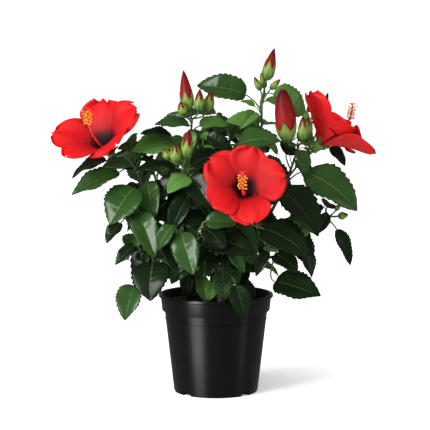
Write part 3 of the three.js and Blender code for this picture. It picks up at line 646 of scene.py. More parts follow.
# %% [markdown]
# The small parts of a bloom are plain, matt tissue. A calyx turns olive at the tips of its lobes and a
# rolled petal darkens towards its tip, so both read their own UV map, which runs from foot to tip.

# %% Stamen and bud materials


def tissue_material(name, colour, roughness, stops, **sockets):
    """Matt tissue whose colour runs from foot to tip."""
    material, tree, shader = new_material(name, colour, roughness, **sockets)
    uv = node(tree, "ShaderNodeTexCoord").outputs["UV"]
    along = node(tree, "ShaderNodeSeparateXYZ", {"Vector": uv}).outputs["Y"]
    shades = node(tree, "ShaderNodeValToRGB", {"Fac": along}, stops)
    tree.links.new(shades.outputs["Color"], shader.inputs["Base Color"])
    return material


column_skin = new_material("red stamen column", "#b82a2c", 0.5)[0]
filament = new_material("orange filament", "#d85c16", 0.5)[0]
pollen = new_material("yellow pollen", "#e08a0c", 0.75)[0]
stigma_pad = new_material("scarlet stigma", "#d3202a", 0.6)[0]
bract_skin = new_material("green bract", "#33561f", 0.55)[0]
olive = [(0.2, "#4b671f"), (0.6, "#657b28"), (0.95, "#3b451c")]
calyx_skin = tissue_material("green calyx", "#6f8f2e", 0.55, olive)
dusky = [(0.35, "#7a090c"), (0.75, "#5c080b"), (0.98, "#270406")]
bud_petal = tissue_material("rolled bud petal", "#85141a", 0.5, dusky, Specular_IOR_Level=0.15)
print("materials:", len(bpy.data.materials))

# %% [markdown]
# ## Growing with Geometry Nodes
# Limbs, leaves and stamens repeat along paths, which is what Geometry Nodes are for. Each tree takes a
# mesh of bare points or edges that carries named numbers, such as how thick a limb is. The result is
# read off the evaluated object as a plain mesh, and the object with the modifier goes away.

# %% Run a tree


def new_tree(name, **sockets):
    """A tree from mesh to mesh. Its other inputs are given by name, each with its kind of socket."""
    tree = bpy.data.node_groups.new(name, "GeometryNodeTree")
    for label, kind in {"Geometry": "Geometry", **sockets}.items():
        tree.interface.new_socket(label, in_out="INPUT", socket_type=f"NodeSocket{kind}")
    tree.interface.new_socket("Geometry", in_out="OUTPUT", socket_type="NodeSocketGeometry")
    return tree, node(tree, "NodeGroupInput").outputs


def grown(name, mesh, tree, **inputs):
    seed = bpy.data.objects.new(name, mesh)
    bpy.context.collection.objects.link(seed)
    modifier = seed.modifiers.new("growth", "NODES")
    modifier.node_group = tree
    for item in tree.interface.items_tree:
        if item.in_out == "INPUT" and item.name in inputs:
            modifier[item.identifier] = inputs[item.name]
    graph = bpy.context.evaluated_depsgraph_get()
    plain = bpy.data.meshes.new_from_object(seed.evaluated_get(graph), depsgraph=graph)
    bpy.data.objects.remove(seed)
    obj = bpy.data.objects.new(name, plain)
    bpy.context.collection.objects.link(obj)
    return obj


def marked_mesh(points, edges=(), **marks):
    """A mesh of bare points or edges with a named number, vector or whole number at each point."""
    mesh = bpy.data.meshes.new("marks")
    mesh.from_pydata([tuple(p * MM) for p in points], edges, [])
    for name, values in marks.items():
        first = values[0]
        if isinstance(first, Vector):
            layer = mesh.attributes.new(name, "FLOAT_VECTOR", "POINT")
            layer.data.foreach_set("vector", [x for v in values for x in v])
        else:
            layer = mesh.attributes.new(name, "INT" if isinstance(first, int) else "FLOAT", "POINT")
            layer.data.foreach_set("value", values)
    return mesh


def dress(obj, nodes):
    """The finished piece rides on the one body and takes the place of its solids."""
    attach(obj, "root")
    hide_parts(*nodes)
    print(obj.name, "faces:", len(obj.data.polygons))


print("bodies to ride on: root")

# %% [markdown]
# ### Limbs
# A limb is a path with a thickness at each point. The tree sweeps a ring along it, then pushes the
# skin in and out by a noise for the bark's relief.

# %% The limb tree
limb_tree, given = new_tree("limbs", Sides="Int", Relief="Float", Grain="Float", Skin="Material")
path = node(limb_tree, "GeometryNodeMeshToCurve", {"Mesh": given["Geometry"]})
ring = node(limb_tree, "GeometryNodeCurvePrimitiveCircle", {"Resolution": given["Sides"], "Radius": 1.0})
girth = node(limb_tree, "GeometryNodeInputNamedAttribute", {"Name": "girth"}, data_type="FLOAT")
sweep = {"Curve": path, "Profile Curve": ring, "Scale": girth, "Fill Caps": True}
swept = node(limb_tree, "GeometryNodeCurveToMesh", sweep)
noise = node(limb_tree, "ShaderNodeTexNoise", {"Scale": given["Grain"], "Detail": 3.0})
height = node(limb_tree, "ShaderNodeMath", {0: noise, 1: 0.5}, operation="SUBTRACT")
amount = node(limb_tree, "ShaderNodeMath", {0: height, 1: given["Relief"]}, operation="MULTIPLY")
normal = node(limb_tree, "GeometryNodeInputNormal")
push = node(limb_tree, "ShaderNodeVectorMath", {0: normal, "Scale": amount}, operation="SCALE")
moved = node(limb_tree, "GeometryNodeSetPosition", {"Geometry": swept, "Offset": push})
rounded = node(limb_tree, "GeometryNodeSetShadeSmooth", {"Geometry": moved})
real = node(limb_tree, "GeometryNodeRealizeInstances", {"Geometry": rounded})
skinned = node(limb_tree, "GeometryNodeSetMaterial", {"Geometry": real, "Material": given["Skin"]})
node(limb_tree, "NodeGroupOutput", {"Geometry": skinned})
print("nodes of the limb tree:", len(limb_tree.nodes))

# %% [markdown]
# Limbs of one kind are gathered first and grown together, so that they become one piece.

# %% Gather limbs


class Paths:
    """Limbs that are gathered as edges with a thickness, and grown together."""

    def __init__(self):
        self.points, self.edges, self.girths = [], [], []

    def add(self, at, radius, steps):
        start = len(self.points)
        for k in range(steps + 1):
            self.points.append(at(k / steps))
            self.girths.append(radius(k / steps) * MM)
        self.edges += [(start + k, start + k + 1) for k in range(steps)]

    def grow(self, name, sides, skin, relief=0.0, grain=4.0):
        mesh = marked_mesh(self.points, self.edges, girth=self.girths)
        sizes = {"Sides": sides, "Relief": relief * MM, "Grain": 1 / (grain * MM), "Skin": skin}
        return grown(name, mesh, limb_tree, **sizes)


twig = Paths()
twig.add(lambda t: vec(0, 0, t), lambda t: 1, 4)
print("edges of a path in four steps:", len(twig.edges))

# %% [markdown]
# ## Stems, boughs and twigs
# Each stem flares at the soil and leans out; each shoot leaves it outwards and turns up. The wood of a
# shoot swells a little at every leaf, which is where the bumps on the boughs come from.

# %% Curves of stems and shoots


def stem_curve(name):
    (x, y), top = STEMS[name]
    start, end = vec(x, y, SOIL_TOP - STEM["sunk"]), vec(*top)
    corner = start.lerp(end, 0.5) + vec((start.x - end.x) * 0.25, (start.y - end.y) * 0.25, 6)
    return Bend(start, corner, end)


def stem_radius(t):
    return mix(STEM["foot"], STEM["tip"], t) * (1 + STEM["flare"] * math.exp(-12 * t))


def shoot_curve(name):
    stem, from_, tip = SHOOTS[name][:3]
    start, end = stem_curve(stem).at(from_), vec(*tip)
    rise = end.z - start.z
    corner = start.lerp(end, 0.62)
    corner.z = start.z + 0.36 * rise + (12 if rise < 20 else 0)
    return Bend(start, corner, end)


def bough_radius(t):
    if t < BOUGH["end"]:
        return mix(BOUGH["foot"], BOUGH["neck"], t / BOUGH["end"])
    return mix(BOUGH["neck"], BOUGH["tip"], (t - BOUGH["end"]) / (1 - BOUGH["end"]))


def shoot_point(name, t):
    """A point on a shoot's own wood above its bough, which runs straight from ring to ring."""
    curve = shoot_curve(name)
    begin = BOUGH["end"] + GAP / curve.length()
    along = clamp((t - begin) / (1 - begin) * MASS_STEPS, 0, MASS_STEPS)
    ring = min(int(along), MASS_STEPS - 1)
    a, b = (curve.at(mix(begin, 1, k / MASS_STEPS)) for k in (ring, ring + 1))
    return a.lerp(b, along - ring)


def side_twig(name):
    seed, turn = SEEDS[name], SHOOTS[name][5]
    start = shoot_point(name, 0.66)
    way = heading(turn + 70 + 40 * chance(seed, 0, 1), 38)
    return start, start + way * (28 + 12 * chance(seed, 0, 2))


def knotted(radius, knots, swell):
    """Swells a radius at evenly spaced knots."""
    return lambda t: radius(t) * (1 + swell * max(0, math.cos(2 * math.pi * knots * t)) ** 6)


print("longest shoot:", round(max(shoot_curve(name).length() for name in SHOOTS)), "mm")

# %% [markdown]
# One path is laid for each stem, bough, twig and side twig, and the tree above skins them. A knot
# swells a little where a leaf once stood, because wood without knots looks like drawn wire.

# %% Grow the wood
OVERLAP = 1.02
stems, boughs, twigs = Paths(), Paths(), Paths()
for name in STEMS:
    stems.add(stem_curve(name).at, knotted(stem_radius, 7, 0.1), 48)
for name in SHOOTS:
    curve = shoot_curve(name)
    wood = knotted(lambda t: bough_radius(t * BOUGH["end"]), 4, 0.12)
    boughs.add(lambda t: curve.at(t * BOUGH["end"] * OVERLAP), wood, 24)
    wood = knotted(lambda t: bough_radius(mix(BOUGH["end"], 1, t)), 5, 0.15)
    twigs.add(lambda t: shoot_point(name, mix(BOUGH["end"], 1, t)), wood, 24)
    start, end = side_twig(name)
    twigs.add(lambda t: start.lerp(end, t), lambda t: mix(SIDE_TWIG["foot"], SIDE_TWIG["tip"], t), 6)

stem_nodes, bough_nodes = [f"stem_{name}" for name in STEMS], [f"bough_{name}" for name in SHOOTS]
dress(stems.grow("woody_stems", 20, stem_bark, relief=0.7, grain=5), stem_nodes)
dress(boughs.grow("boughs", 14, bough_bark, relief=0.35, grain=4), bough_nodes)

# %% [markdown]
# ## Leaf places
# The rule of the source is written again here: a golden turn from leaf to leaf, lower leaves that hang
# and upper leaves that rise, faces turned to the light. Of all tries at a place, the source kept one
# that had room. Which one can be read off the frame: the rim of the kept leaf lies on its solid.

# %% The leaf rule


class Leaf:
    def __init__(self, start, foot, along, upper, length, habit, broad=1.0):
        self.start, self.foot, self.along, self.upper = start, foot, along, upper
        self.length, self.habit, self.broad = length, habit, broad

    def place(self, share, across, width):
        """A point of the blade: share of its length, side from -1 to 1, half width as a share."""
        curl, fold, habit_broad = HABITS[self.habit]
        curl, fold = math.radians(curl), math.radians(fold)
        bent = max(curl * share, 1e-6)
        lift = self.upper * math.cos(bent) + self.along * math.sin(bent)
        half = 0.5 * LEAF["width"] * habit_broad * self.broad * self.length * width
        return (
            self.foot
            + self.along * (self.length * math.sin(bent) / curl)
            - self.upper * (self.length * (1 - math.cos(bent)) / curl)
            + self.along.cross(self.upper) * (half * across * math.cos(fold))
            + lift * (half * abs(across) * math.sin(fold))
        )


def aimed_leaf(shoot, up, foot, tip, habit, face, lift, broad):
    foot, chord = vec(*foot), vec(*tip) - vec(*foot)
    bent = math.radians(HABITS[habit][0]) / 2
    length = chord.length * bent / math.sin(bent)
    chord.normalize()
    upper = heading(face, lift)
    upper = (upper - chord * upper.dot(chord)).normalized()
    along = chord * math.cos(bent) + upper * math.sin(bent)
    face_up = upper * math.cos(bent) - chord * math.sin(bent)
    return Leaf(shoot_point(shoot, up), foot, along, face_up, length, habit, broad)


def leaf_places(shoot):
    leaves, longest, turn = SHOOTS[shoot][3:]
    places = []
    for k in range(leaves):
        up = mix(BOUGH["end"] + 0.05, 0.97, k / (leaves - 1))
        places.append((shoot_point(shoot, up), turn + GOLDEN_TURN * k, up, longest * (1 - 0.42 * up**4)))
    start, end = side_twig(shoot)
    for k in range(SIDE_TWIG["leaves"]):
        up = mix(0.35, 0.97, k / (SIDE_TWIG["leaves"] - 1))
        places.append((start.lerp(end, up), turn + 60 + GOLDEN_TURN * k, up, longest * 0.85))
    return places


def leaf_try(seed, place, slot, attempt):
    start, turn, up, longest = place

    def draw(channel):
        return chance(seed + 0.37 * attempt, slot, channel)

    turn += (draw(1) - 0.5) * (30 + 42 * attempt)
    rise = mix(20, 58, up) + 24 * (draw(2) - 0.5)
    stalk = mix(13, 25, draw(4)) * (1.1 - 0.4 * up)
    foot = start + heading(turn, rise) * stalk
    away = vec(foot.x - CROWN_AXIS.x, foot.y - CROWN_AXIS.y, 0).normalized()
    light = 0.75 * clamp((45 - foot.y) / 80, -0.7, 1)
    upper = away * 0.5 + vec(0, -light, 0.85)
    upper += vec(0.6 * (draw(7) - 0.5), 0.4 * (draw(8) - 0.5), 0.4 * (draw(9) - 0.5))
    upper.normalize()
    along = heading(turn, mix(-50, -6, up) + 36 * (draw(3) - 0.5))
    along = (along - upper * along.dot(upper)).normalized()
    length = longest * mix(0.88, 1.1, draw(5)) * (1 - 0.035 * attempt)
    return Leaf(start, foot, along, upper, length, int(len(HABITS) * draw(6)))


print("places for leaves:", sum(len(leaf_places(name)) for name in SHOOTS))

# %% [markdown]
# The frame holds each mass as a mesh. A leaf of the rule was kept if all five points of its rim lie on
# that mesh, so this test finds the very leaves of the solids.

# %% Read off the frame which leaves were kept
RIM = [(0.17, -1, 0.84), (0.17, 1, 0.84), (0.52, -1, 0.92), (0.52, 1, 0.92), (1, 0, 0)]
ON_THE_SOLID = 0.12


def tree_of(names):
    points, faces = [], []
    for name in names:
        mesh = frame["nodes"][name].data
        faces += [[len(points) + v for v in face.vertices] for face in mesh.polygons]
        points += [vertex.co / MM for vertex in mesh.vertices]
    return BVHTree.FromPolygons(points, faces)


def is_on(solid, leaf):
    return all(solid.find_nearest(leaf.place(*rim))[3] < ON_THE_SOLID for rim in RIM)


leaves = {}
for name in SHOOTS:
    solid = tree_of([f"leaves_{name}"])
    aimed = (aimed_leaf(name, *plan) for plan in OUTLINE_LEAVES.get(name, []))
    leaves[name] = [leaf for leaf in aimed if is_on(solid, leaf)]
    for slot, place in enumerate(leaf_places(name)):
        tries = (leaf_try(SEEDS[name], place, slot, attempt) for attempt in range(LEAF["tries"]))
        leaves[name] += [leaf for leaf in tries if is_on(solid, leaf)][:1]
print("leaves found on the solids:", sum(len(kept) for kept in leaves.values()))

# %% [markdown]
# ## Finer leaves
# The solids carry fewer leaves than the shrub. The rule is carried on: every shoot gets small young
# leaves between the big ones, wherever there is room and nothing hides a bloom or a bud.

# %% What has to stay in view
# Places where white shows through the crown: right of the middle, height, radius.
SKY = [
    (-134, 235, 10),
    (-150, 253, 5),
    (-109, 244, 7),
    (-73, 245, 5),
    (-109, 195, 6),
    (-112, 156, 5),
    (-52, 124, 7),
    (14, 330, 8),
    (63, 321, 5),
    (75, 266, 5),
    (93, 247, 8),
    (76, 211, 8),
    (121, 184, 5),
    (134, 204, 5),
    (98, 149, 5),
    (56, 133, 8),
    (36, 136, 4),
    (119, 272, 8),
    (121, 165, 8),
    (95, 147, 7),
    (-94, 155, 6),
]
BESIDE_BLOOM = 3
BESIDE_BUD = 5
BEHIND_THROAT = 4
MIDDLE_OF_BUD = 0.6


def off_sight(point, through):
    """How far a point is from the line of sight through another, and how far in front of that one."""
    offset = point - through
    ahead = offset.dot(SIGHT)
    return (offset - SIGHT * ahead).length, ahead


def blocks_view(p):
    if any(off_sight(p, vec(x, 0, z))[0] < r for x, z, r in SKY):
        return True
    for _, _, throat, faces, radius, _ in BLOOMS.values():
        axis = vec(*faces).normalized()
        offset = p - vec(*throat)
        depth = offset.dot(axis)
        if depth > -BEHIND_THROAT and (offset - axis * depth).length < radius + BESIDE_BLOOM:
            return True
        ahead = depth / SIGHT.dot(axis)
        if ahead > 0 and (offset - SIGHT * ahead).length < radius - BESIDE_BLOOM:
            return True
    for _, buds in BUDS.values():
        for foot, tip, width, _ in buds:
            off, ahead = off_sight(p, vec(*foot).lerp(vec(*tip), MIDDLE_OF_BUD))
            if ahead > 0 and off < width * 0.5 + BESIDE_BUD:
                return True
    return False


bud_count = sum(len(buds) for _, buds in BUDS.values())
print("places kept clear:", len(SKY), "gaps,", len(BLOOMS), "blooms,", bud_count, "buds")

# %% [markdown]
# A small leaf has room where none of fifteen points of its blade comes near a solid, near another small
# leaf, near the soil or out of the box of the plant. The soil's clearance is larger outside the pot,
# where a leaf would lie on the lip.

# %% Fill between the leaves
FINE = {"leaves": 16, "tries": 8, "length": (17, 40), "room": 2.2, "apart": 5, "seed": 40}
OVER_SOIL, OVER_LIP, SOIL_REACH = 2, 14, 56
INSIDE_BOX = 1
BLADE_WIDTHS = {0.1: 0.6, 0.3: 1, 0.6: 0.85, 0.85: 0.4, 1: 0}
BLADE_POINTS = [(share, side, wide) for share, wide in BLADE_WIDTHS.items() for side in (-1, 0, 1)]
crown = tree_of(frame["nodes"])
low, high = (Vector(corner) / MM for corner in cad_box)
fine_leaves = {name: [] for name in SHOOTS}
taken = []


def has_room(leaf):
    points = [leaf.place(*blade_point) for blade_point in BLADE_POINTS]
    for p in points:
        if not all(low[k] + INSIDE_BOX < p[k] < high[k] - INSIDE_BOX for k in range(3)):
            return False
        if p.z < SOIL_TOP + (OVER_SOIL if math.hypot(p.x, p.y) < SOIL_REACH else OVER_LIP):
            return False
        if crown.find_nearest(p)[3] < FINE["room"] or blocks_view(p):
            return False
        if any((p - q).length < FINE["apart"] for q in taken):
            return False
    taken.extend(points)
    return True


def grow_where_room(kept, seed, place, slot):
    """Keeps the first try at a place that has room."""
    tries = (leaf_try(seed, place, slot, attempt) for attempt in range(FINE["tries"]))
    leaf = next((leaf for leaf in tries if has_room(leaf)), None)
    if leaf:
        kept.append(leaf)


for name in SHOOTS:
    for slot in range(FINE["leaves"]):
        up = mix(BOUGH["end"] - 0.1, 1, chance(SEEDS[name], slot, 21))
        length = mix(*FINE["length"], chance(SEEDS[name], slot, 22)) * (1.1 - 0.3 * up)
        place = (shoot_curve(name).at(up), SHOOTS[name][5] + 60 + GOLDEN_TURN * slot, up, length)
        grow_where_room(fine_leaves[name], SEEDS[name] + FINE["seed"], place, slot)
print("finer leaves on the shoots:", sum(len(kept) for kept in fine_leaves.values()))

# %% [markdown]
# Leaves also grow low on the stems, and fill the crown down to the pot. Each is counted with the shoot
# that leaves the stem nearest to it.

# %% Fill low on the stems
LOW = {"leaves": 44, "from": 0.05, "to": 0.65, "length": (22, 48), "seed": 80}
for k, name in enumerate(STEMS):
    for slot in range(LOW["leaves"]):
        t = mix(LOW["from"], LOW["to"], slot / (LOW["leaves"] - 1))
        length = mix(*LOW["length"], chance(LOW["seed"] + k, slot, 22))
        place = (stem_curve(name).at(t), 90 * k + GOLDEN_TURN * slot, 0.35 * t, length)
        home = min(SHOOTS, key=lambda shoot: (shoot_curve(shoot).at(0.3) - place[0]).length)
        grow_where_room(fine_leaves[home], LOW["seed"] + k, place, slot)
print("finer leaves:", {name: len(kept) for name, kept in fine_leaves.items()})

# %% [markdown]
# ## The leaf blade
# The blade is egg-shaped with a drawn-out tip and saw teeth that point forwards. It is quilted between
# its side veins, and its rim waves. Eight blades, one for each habit in two moods, are enough, because
# every leaf gets its own size, breadth and way to face. A blade is one unit long here, and its bulges
# and waves are shares of that.

# %% Model the blades
TEETH = 9
TEETH_FROM = 0.12
ACROSS = (-1, -0.86, -0.5, -0.035, 0.035, 0.5, 0.86, 1)
MIDRIB = 3
MIDRIB_ENDS = 5
BLADE_THICKNESS = 0.012
MOODS = 2


def egg(share):
    """Half width of the blade as a share of its greatest."""
    if share <= 0 or share >= 1:
        return 0
    return 2.12 * share**0.5 * (1 - share) ** 0.9


def blade_rows():
    """Rows at the foot, then one at the point and one behind each tooth."""
    step = (1 - TEETH_FROM) / TEETH
    rows = [(0, 1), (0.02, 1), (0.06, 1), (TEETH_FROM, 0.97)]
    for k in range(TEETH - 1):
        rows += [(TEETH_FROM + (k + 0.72) * step, 1.05), (TEETH_FROM + (k + 1) * step, 0.95)]
    return rows + [(1 - 0.4 * step, 1), (1, 1)]


def blade_mesh(habit, mood):
    unit = Leaf(vec(0, 0, 0), vec(0, 0, 0), vec(1, 0, 0), vec(0, 0, 1), 1.0, habit)
    teeth = dict(blade_rows())
    rows = list(teeth)

    def place(share, across):
        # The rim waves, the blade bulges between its side veins, and the tip sways to one side.
        half, side = egg(share), abs(across)
        ripple = 0.034 * math.sin(11 * share + 2.4 * mood + 1.5 * across) * across**2
        ripple *= math.sin(math.pi * share)
        quilt = 0.014 * math.cos(2 * math.pi * (7 * share - 1.7 * side)) * (1 - side) * math.sqrt(half)
        quilt += 0.05 * math.sin(math.pi * min(side, 0.97) ** 0.7) * half
        p = unit.place(share, across, half * mix(1, teeth[share], side**6))
        sway = 0.03 * math.sin(3.2 * share + 3 * mood) * share
        return (p + vec(0, sway, ripple + quilt)) / MM

    def kind(i, j, under):
        return 2 if j == MIDRIB and i < len(rows) - MIDRIB_ENDS else int(under)

    skin = Skin()
    thin_sheet(skin, place, rows, ACROSS, BLADE_THICKNESS / MM, kind)
    obj = skin.piece(f"blade_{mood}{habit}", [])
    for label, number in (("underside", 1), ("midrib", 2)):
        layer = obj.data.attributes.new(label, "BOOLEAN", "FACE")
        layer.data.foreach_set("value", [k == number for k in skin.kinds])
    return obj


blades = bpy.data.collections.new("leaf blades")
bpy.context.scene.collection.children.link(blades)
for mood in range(MOODS):
    for habit in range(len(HABITS)):
        obj = blade_mesh(habit, mood)
        bpy.context.collection.objects.unlink(obj)
        blades.objects.link(obj)

# %% [markdown]
# The same few blades are set down again and again. Each leaf is a bare point that carries its turn, its
# size and the number of its blade, and the tree puts the blade there. A face gets its material by the
# side it is on and by whether it belongs to the midrib.

# %% The leaf tree
skins = {skin_name: "Material" for skin_name in ("Upper", "Underside", "Midrib")}
leaf_tree, given = new_tree("leaves", Blades="Collection", **skins)
parts = {"Collection": given["Blades"], "Separate Children": True, "Reset Children": True}
shapes = node(leaf_tree, "GeometryNodeCollectionInfo", parts)
marks = {
    name: node(leaf_tree, "GeometryNodeInputNamedAttribute", {"Name": name}, data_type=kind)
    for name, kind in {
        "along": "FLOAT_VECTOR",
        "upper": "FLOAT_VECTOR",
        "size": "FLOAT_VECTOR",
        "shape": "INT",
        "underside": "BOOLEAN",
        "midrib": "BOOLEAN",
    }.items()
}
axes = {"Primary Axis": marks["along"], "Secondary Axis": marks["upper"]}
facing = node(leaf_tree, "FunctionNodeAxesToRotation", axes, primary_axis="X", secondary_axis="Z")
setting = {
    "Points": given["Geometry"],
    "Instance": shapes,
    "Pick Instance": True,
    "Instance Index": marks["shape"],
    "Rotation": facing,
    "Scale": marks["size"],
}
set_out = node(leaf_tree, "GeometryNodeInstanceOnPoints", setting)
surface = node(leaf_tree, "GeometryNodeRealizeInstances", {"Geometry": set_out})
for skin_name, faces in (("Upper", True), ("Underside", marks["underside"]), ("Midrib", marks["midrib"])):
    skin = {"Geometry": surface, "Selection": faces, "Material": given[skin_name]}
    surface = node(leaf_tree, "GeometryNodeSetMaterial", skin)
node(leaf_tree, "NodeGroupOutput", {"Geometry": surface})
print("nodes of the leaf tree:", len(leaf_tree.nodes))

# %% [markdown]
# Old leaves are dark, others full green, and young leaves at the tips of shoots are yellow-green. The
# dark tint is also painted shade, and leaves high in the crown get the lighter tints more often, which is
# painted light on the top of the crown. So chance and height together deal each leaf its tint, and a
# small leaf is young more often. Every leaf hangs on a bent stalk of its own.

# %% Deal out tints and stalks
YOUNG, YOUNG_IF_SMALL, FULL = 0.9, 0.6, 0.4
YOUNG_AND_PAINTED_LIGHT_HEIGHT = 250
STALK, SMALL_STALK = 0.95, 0.6
by_tint = {tint: [] for tint in LEAF_TINTS}
stalks = Paths()
for name in SHOOTS:
    for k, leaf in enumerate(leaves[name] + fine_leaves[name]):
        small = k >= len(leaves[name])
        # Higher leaves get lighter tints more often: painted light on the top of the crown, and younger
        # leaves.
        light = chance(SEEDS[name], k, 31) + 0.3 * clamp((leaf.foot.z - YOUNG_AND_PAINTED_LIGHT_HEIGHT) / 80, -0.3, 1)
        young_from = YOUNG_IF_SMALL if small else YOUNG
        tint = "young" if light > young_from else "full" if light > FULL else "deep"
        by_tint[tint].append((leaf, len(HABITS) * (k % MOODS) + leaf.habit))
        reach = (leaf.foot - leaf.start).length
        bend = Bend(leaf.start, leaf.foot - leaf.along * (0.4 * reach), leaf.foot + leaf.along * 1.5)
        girth = SMALL_STALK if small else STALK
        stalks.add(bend.at, lambda t: girth * mix(1.1, 0.8, t), 6)
print("leaves of each tint:", {tint: len(kept) for tint, kept in by_tint.items()})

# %% [markdown]
# Each tint becomes one piece. The loose blades were only patterns, so they go once the last leaf is
# grown. Green twigs and leaf stalks are limbs, and the limb tree skins them.

# %% Grow the leaves
masses = [f"leaves_{name}" for name in SHOOTS]
for tint, kept in by_tint.items():
    points = marked_mesh(
        [leaf.foot for leaf, _ in kept],
        along=[leaf.along for leaf, _ in kept],
        upper=[leaf.upper for leaf, _ in kept],
        size=[vec(1, leaf.broad, 1) * (leaf.length * MM) for leaf, _ in kept],
        shape=[shape for _, shape in kept],
    )
    dress(grown(f"{tint}_leaves", points, leaf_tree, Blades=blades, **leaf_skins[tint]), masses)

for obj in list(blades.objects):
    bpy.data.objects.remove(obj)
bpy.data.collections.remove(blades)
dress(twigs.grow("green_twigs", 10, green_skin, relief=0.15, grain=3), masses)
dress(stalks.grow("leaf_stalks", 7, stalk_skin), masses)

# %% [markdown]
# ## Blooms
# Five petals, each over its neighbour, narrow in the throat and broad outside with a ruffled rim. They
# stand in a green calyx, and a column with stamens and five stigma pads grows out of the throat. A
# petal could be sculpted by hand. A formula over its length and breadth makes fifteen that are alike
# but never the same.

# %% Petals


def bloom_axes(bloom):
    """The throat, the way the bloom faces, and the ways to its right and its top."""
    axis = vec(*bloom[3]).normalized()
    right = vec(0, 0, 1).cross(axis).normalized()
    return vec(*bloom[2]), axis, right, axis.cross(right)


def petal_place(bloom, k):
    throat, axis, right, top = bloom_axes(bloom)
    size = bloom[4]
    turn, share = bloom[5][k]
    turn = math.radians(turn)
    out = right * math.cos(turn) + top * math.sin(turn)
    aside = axis.cross(out)

    def place(u, v):
        # How far out, with a rim that goes in and out in waves.
        reach = size * (0.05 + (share - 0.05) * u**1.45)
        reach += size * (0.03 * u**6 * math.sin(11 * v + 2.3 * k) + 0.012 * u**8 * math.sin(27 * v + k))
        # How far forward: up out of the throat, then over.
        rise = size * (-0.5 * (1 - u) ** 2.2 + 0.42 * u**1.5 - 0.16 * u**4)
        # Half the breadth: a narrow claw, a broad blade and a round end.
        half = size * (0.055 + 0.6 * smooth(u)) * math.sqrt(1 - 0.94 * u**7)
        # One side lies over the next petal and the other under it, and the blade is ruffled and hollow.
        lap = size * (0.055 * v * u + 0.03 * u**3 * math.sin(6.5 * v + 1.9 * k))
        frill = 0.03 * u**4 * math.sin(13 * v + 3.1 * k) * abs(v) + 0.02 * u**3 * math.sin(7 * v + 1.3 * k)
        hollow = (0.3 / size) * (half * v) ** 2
        return throat + out * (reach - hollow) + aside * (half * v) + axis * (rise + lap + size * frill)

    return place


def claw_place(bloom):
    """The short funnel that the petals' claws join into, a little wider than the middle of each petal."""
    throat, axis, right, top = bloom_axes(bloom)
    size = bloom[4]

    def place(u, v):
        turn = 1.02 * math.pi * v
        out = right * math.cos(turn) + top * math.sin(turn)
        reach = size * (1.13 * (0.05 + 0.95 * u**1.45) + 0.01 * v)
        return throat + out * reach + axis * (size * (0.42 * u**1.5 - 0.5 * (1 - u) ** 2.2))

    return place


print("petals:", sum(len(bloom[5]) for bloom in BLOOMS.values()))

# %% [markdown]
# Rows of a petal stand closer together towards its rim, where it is frilled. Its inner face, which
# looks out of the bloom, has the dark eye; its back is plain.

# %% Grow the petals
PETAL = {"rows": 30, "cols": 36, "thickness": 0.7, "crowding": 1.6}
CLAWS = {"rows": 10, "cols": 40, "thickness": 0.5, "to": 0.42}


def across_sheet(count):
    """Places across a sheet, from -1 to 1."""
    return [2 * k / count - 1 for k in range(count + 1)]


def inner_face(i, j, under):
    return int(not under)


petal_rows = [1 - (1 - k / PETAL["rows"]) ** PETAL["crowding"] for k in range(PETAL["rows"] + 1)]
claw_rows = [CLAWS["to"] * k / CLAWS["rows"] for k in range(CLAWS["rows"] + 1)]
for name, bloom in BLOOMS.items():
    skin = Skin()
    for k in range(len(bloom[5])):
        place = petal_place(bloom, k)
        thin_sheet(skin, place, petal_rows, across_sheet(PETAL["cols"]), PETAL["thickness"], inner_face)
    place = claw_place(bloom)
    thin_sheet(skin, place, claw_rows, across_sheet(CLAWS["cols"]), CLAWS["thickness"], inner_face)
    dress(skin.piece(f"petals_{name}", [petal_crepe, petal_back], with_uv=True), [f"bloom_{name}"])

# %% [markdown]
# ### Stamens
# The column carries some forty stamens on its last quarter, in a spiral. Geometry Nodes walk along the
# column, turn by the golden angle at each step and set out one stamen: a short filament with a
# cushion of pollen at its end. A stamen is one unit long here and leans out from the column; each gets
# its own size where it is set out.

# %% The stamen tree
sockets = {"Count": "Int", "From": "Float", "Length": "Float", "Filament": "Material", "Pollen": "Material"}
stamen_tree, given = new_tree("stamens", **sockets)
LEAN = math.radians(62)
BARE_TIP = 0.96
path = node(stamen_tree, "GeometryNodeMeshToCurve", {"Mesh": given["Geometry"]})
stretch = {"Curve": path, "Start": given["From"], "End": BARE_TIP}
outer = node(stamen_tree, "GeometryNodeTrimCurve", stretch, mode="FACTOR")
stepping = {"Curve": outer, "Count": given["Count"]}
steps = node(stamen_tree, "GeometryNodeCurveToPoints", stepping, mode="COUNT")
winding = {0: node(stamen_tree, "GeometryNodeInputIndex"), 1: math.radians(GOLDEN_TURN)}
golden = node(stamen_tree, "ShaderNodeMath", winding, operation="MULTIPLY")
spin = node(stamen_tree, "FunctionNodeAxisAngleToRotation", {"Axis": (0, 0, 1), "Angle": golden})
turning = {"Rotation": steps.outputs["Rotation"], "Rotate By": spin}
facing = node(stamen_tree, "FunctionNodeRotateRotation", turning, rotation_space="LOCAL")

# The filament: a thin rod.
rod = node(stamen_tree, "GeometryNodeMeshCylinder", {"Vertices": 4, "Radius": 0.05, "Depth": 1.0})
middle = (0.5 * math.sin(LEAN), 0, 0.5 * math.cos(LEAN))
leaning = {"Geometry": rod, "Translation": middle, "Rotation": (0, LEAN, 0)}
rod_out = node(stamen_tree, "GeometryNodeTransform", leaning)
painted = {"Geometry": rod_out, "Material": given["Filament"]}
rod_skin = node(stamen_tree, "GeometryNodeSetMaterial", painted)

# The pollen at the end of the rod: a flat cushion.
cushion = node(stamen_tree, "GeometryNodeMeshIcoSphere", {"Radius": 0.2, "Subdivisions": 2})
end = (math.sin(LEAN), 0, math.cos(LEAN))
broad = {"Geometry": cushion, "Translation": end, "Scale": (0.8, 1.2, 0.8)}
cushion_out = node(stamen_tree, "GeometryNodeTransform", broad)
painted = {"Geometry": cushion_out, "Material": given["Pollen"]}
cushion_skin = node(stamen_tree, "GeometryNodeSetMaterial", painted)

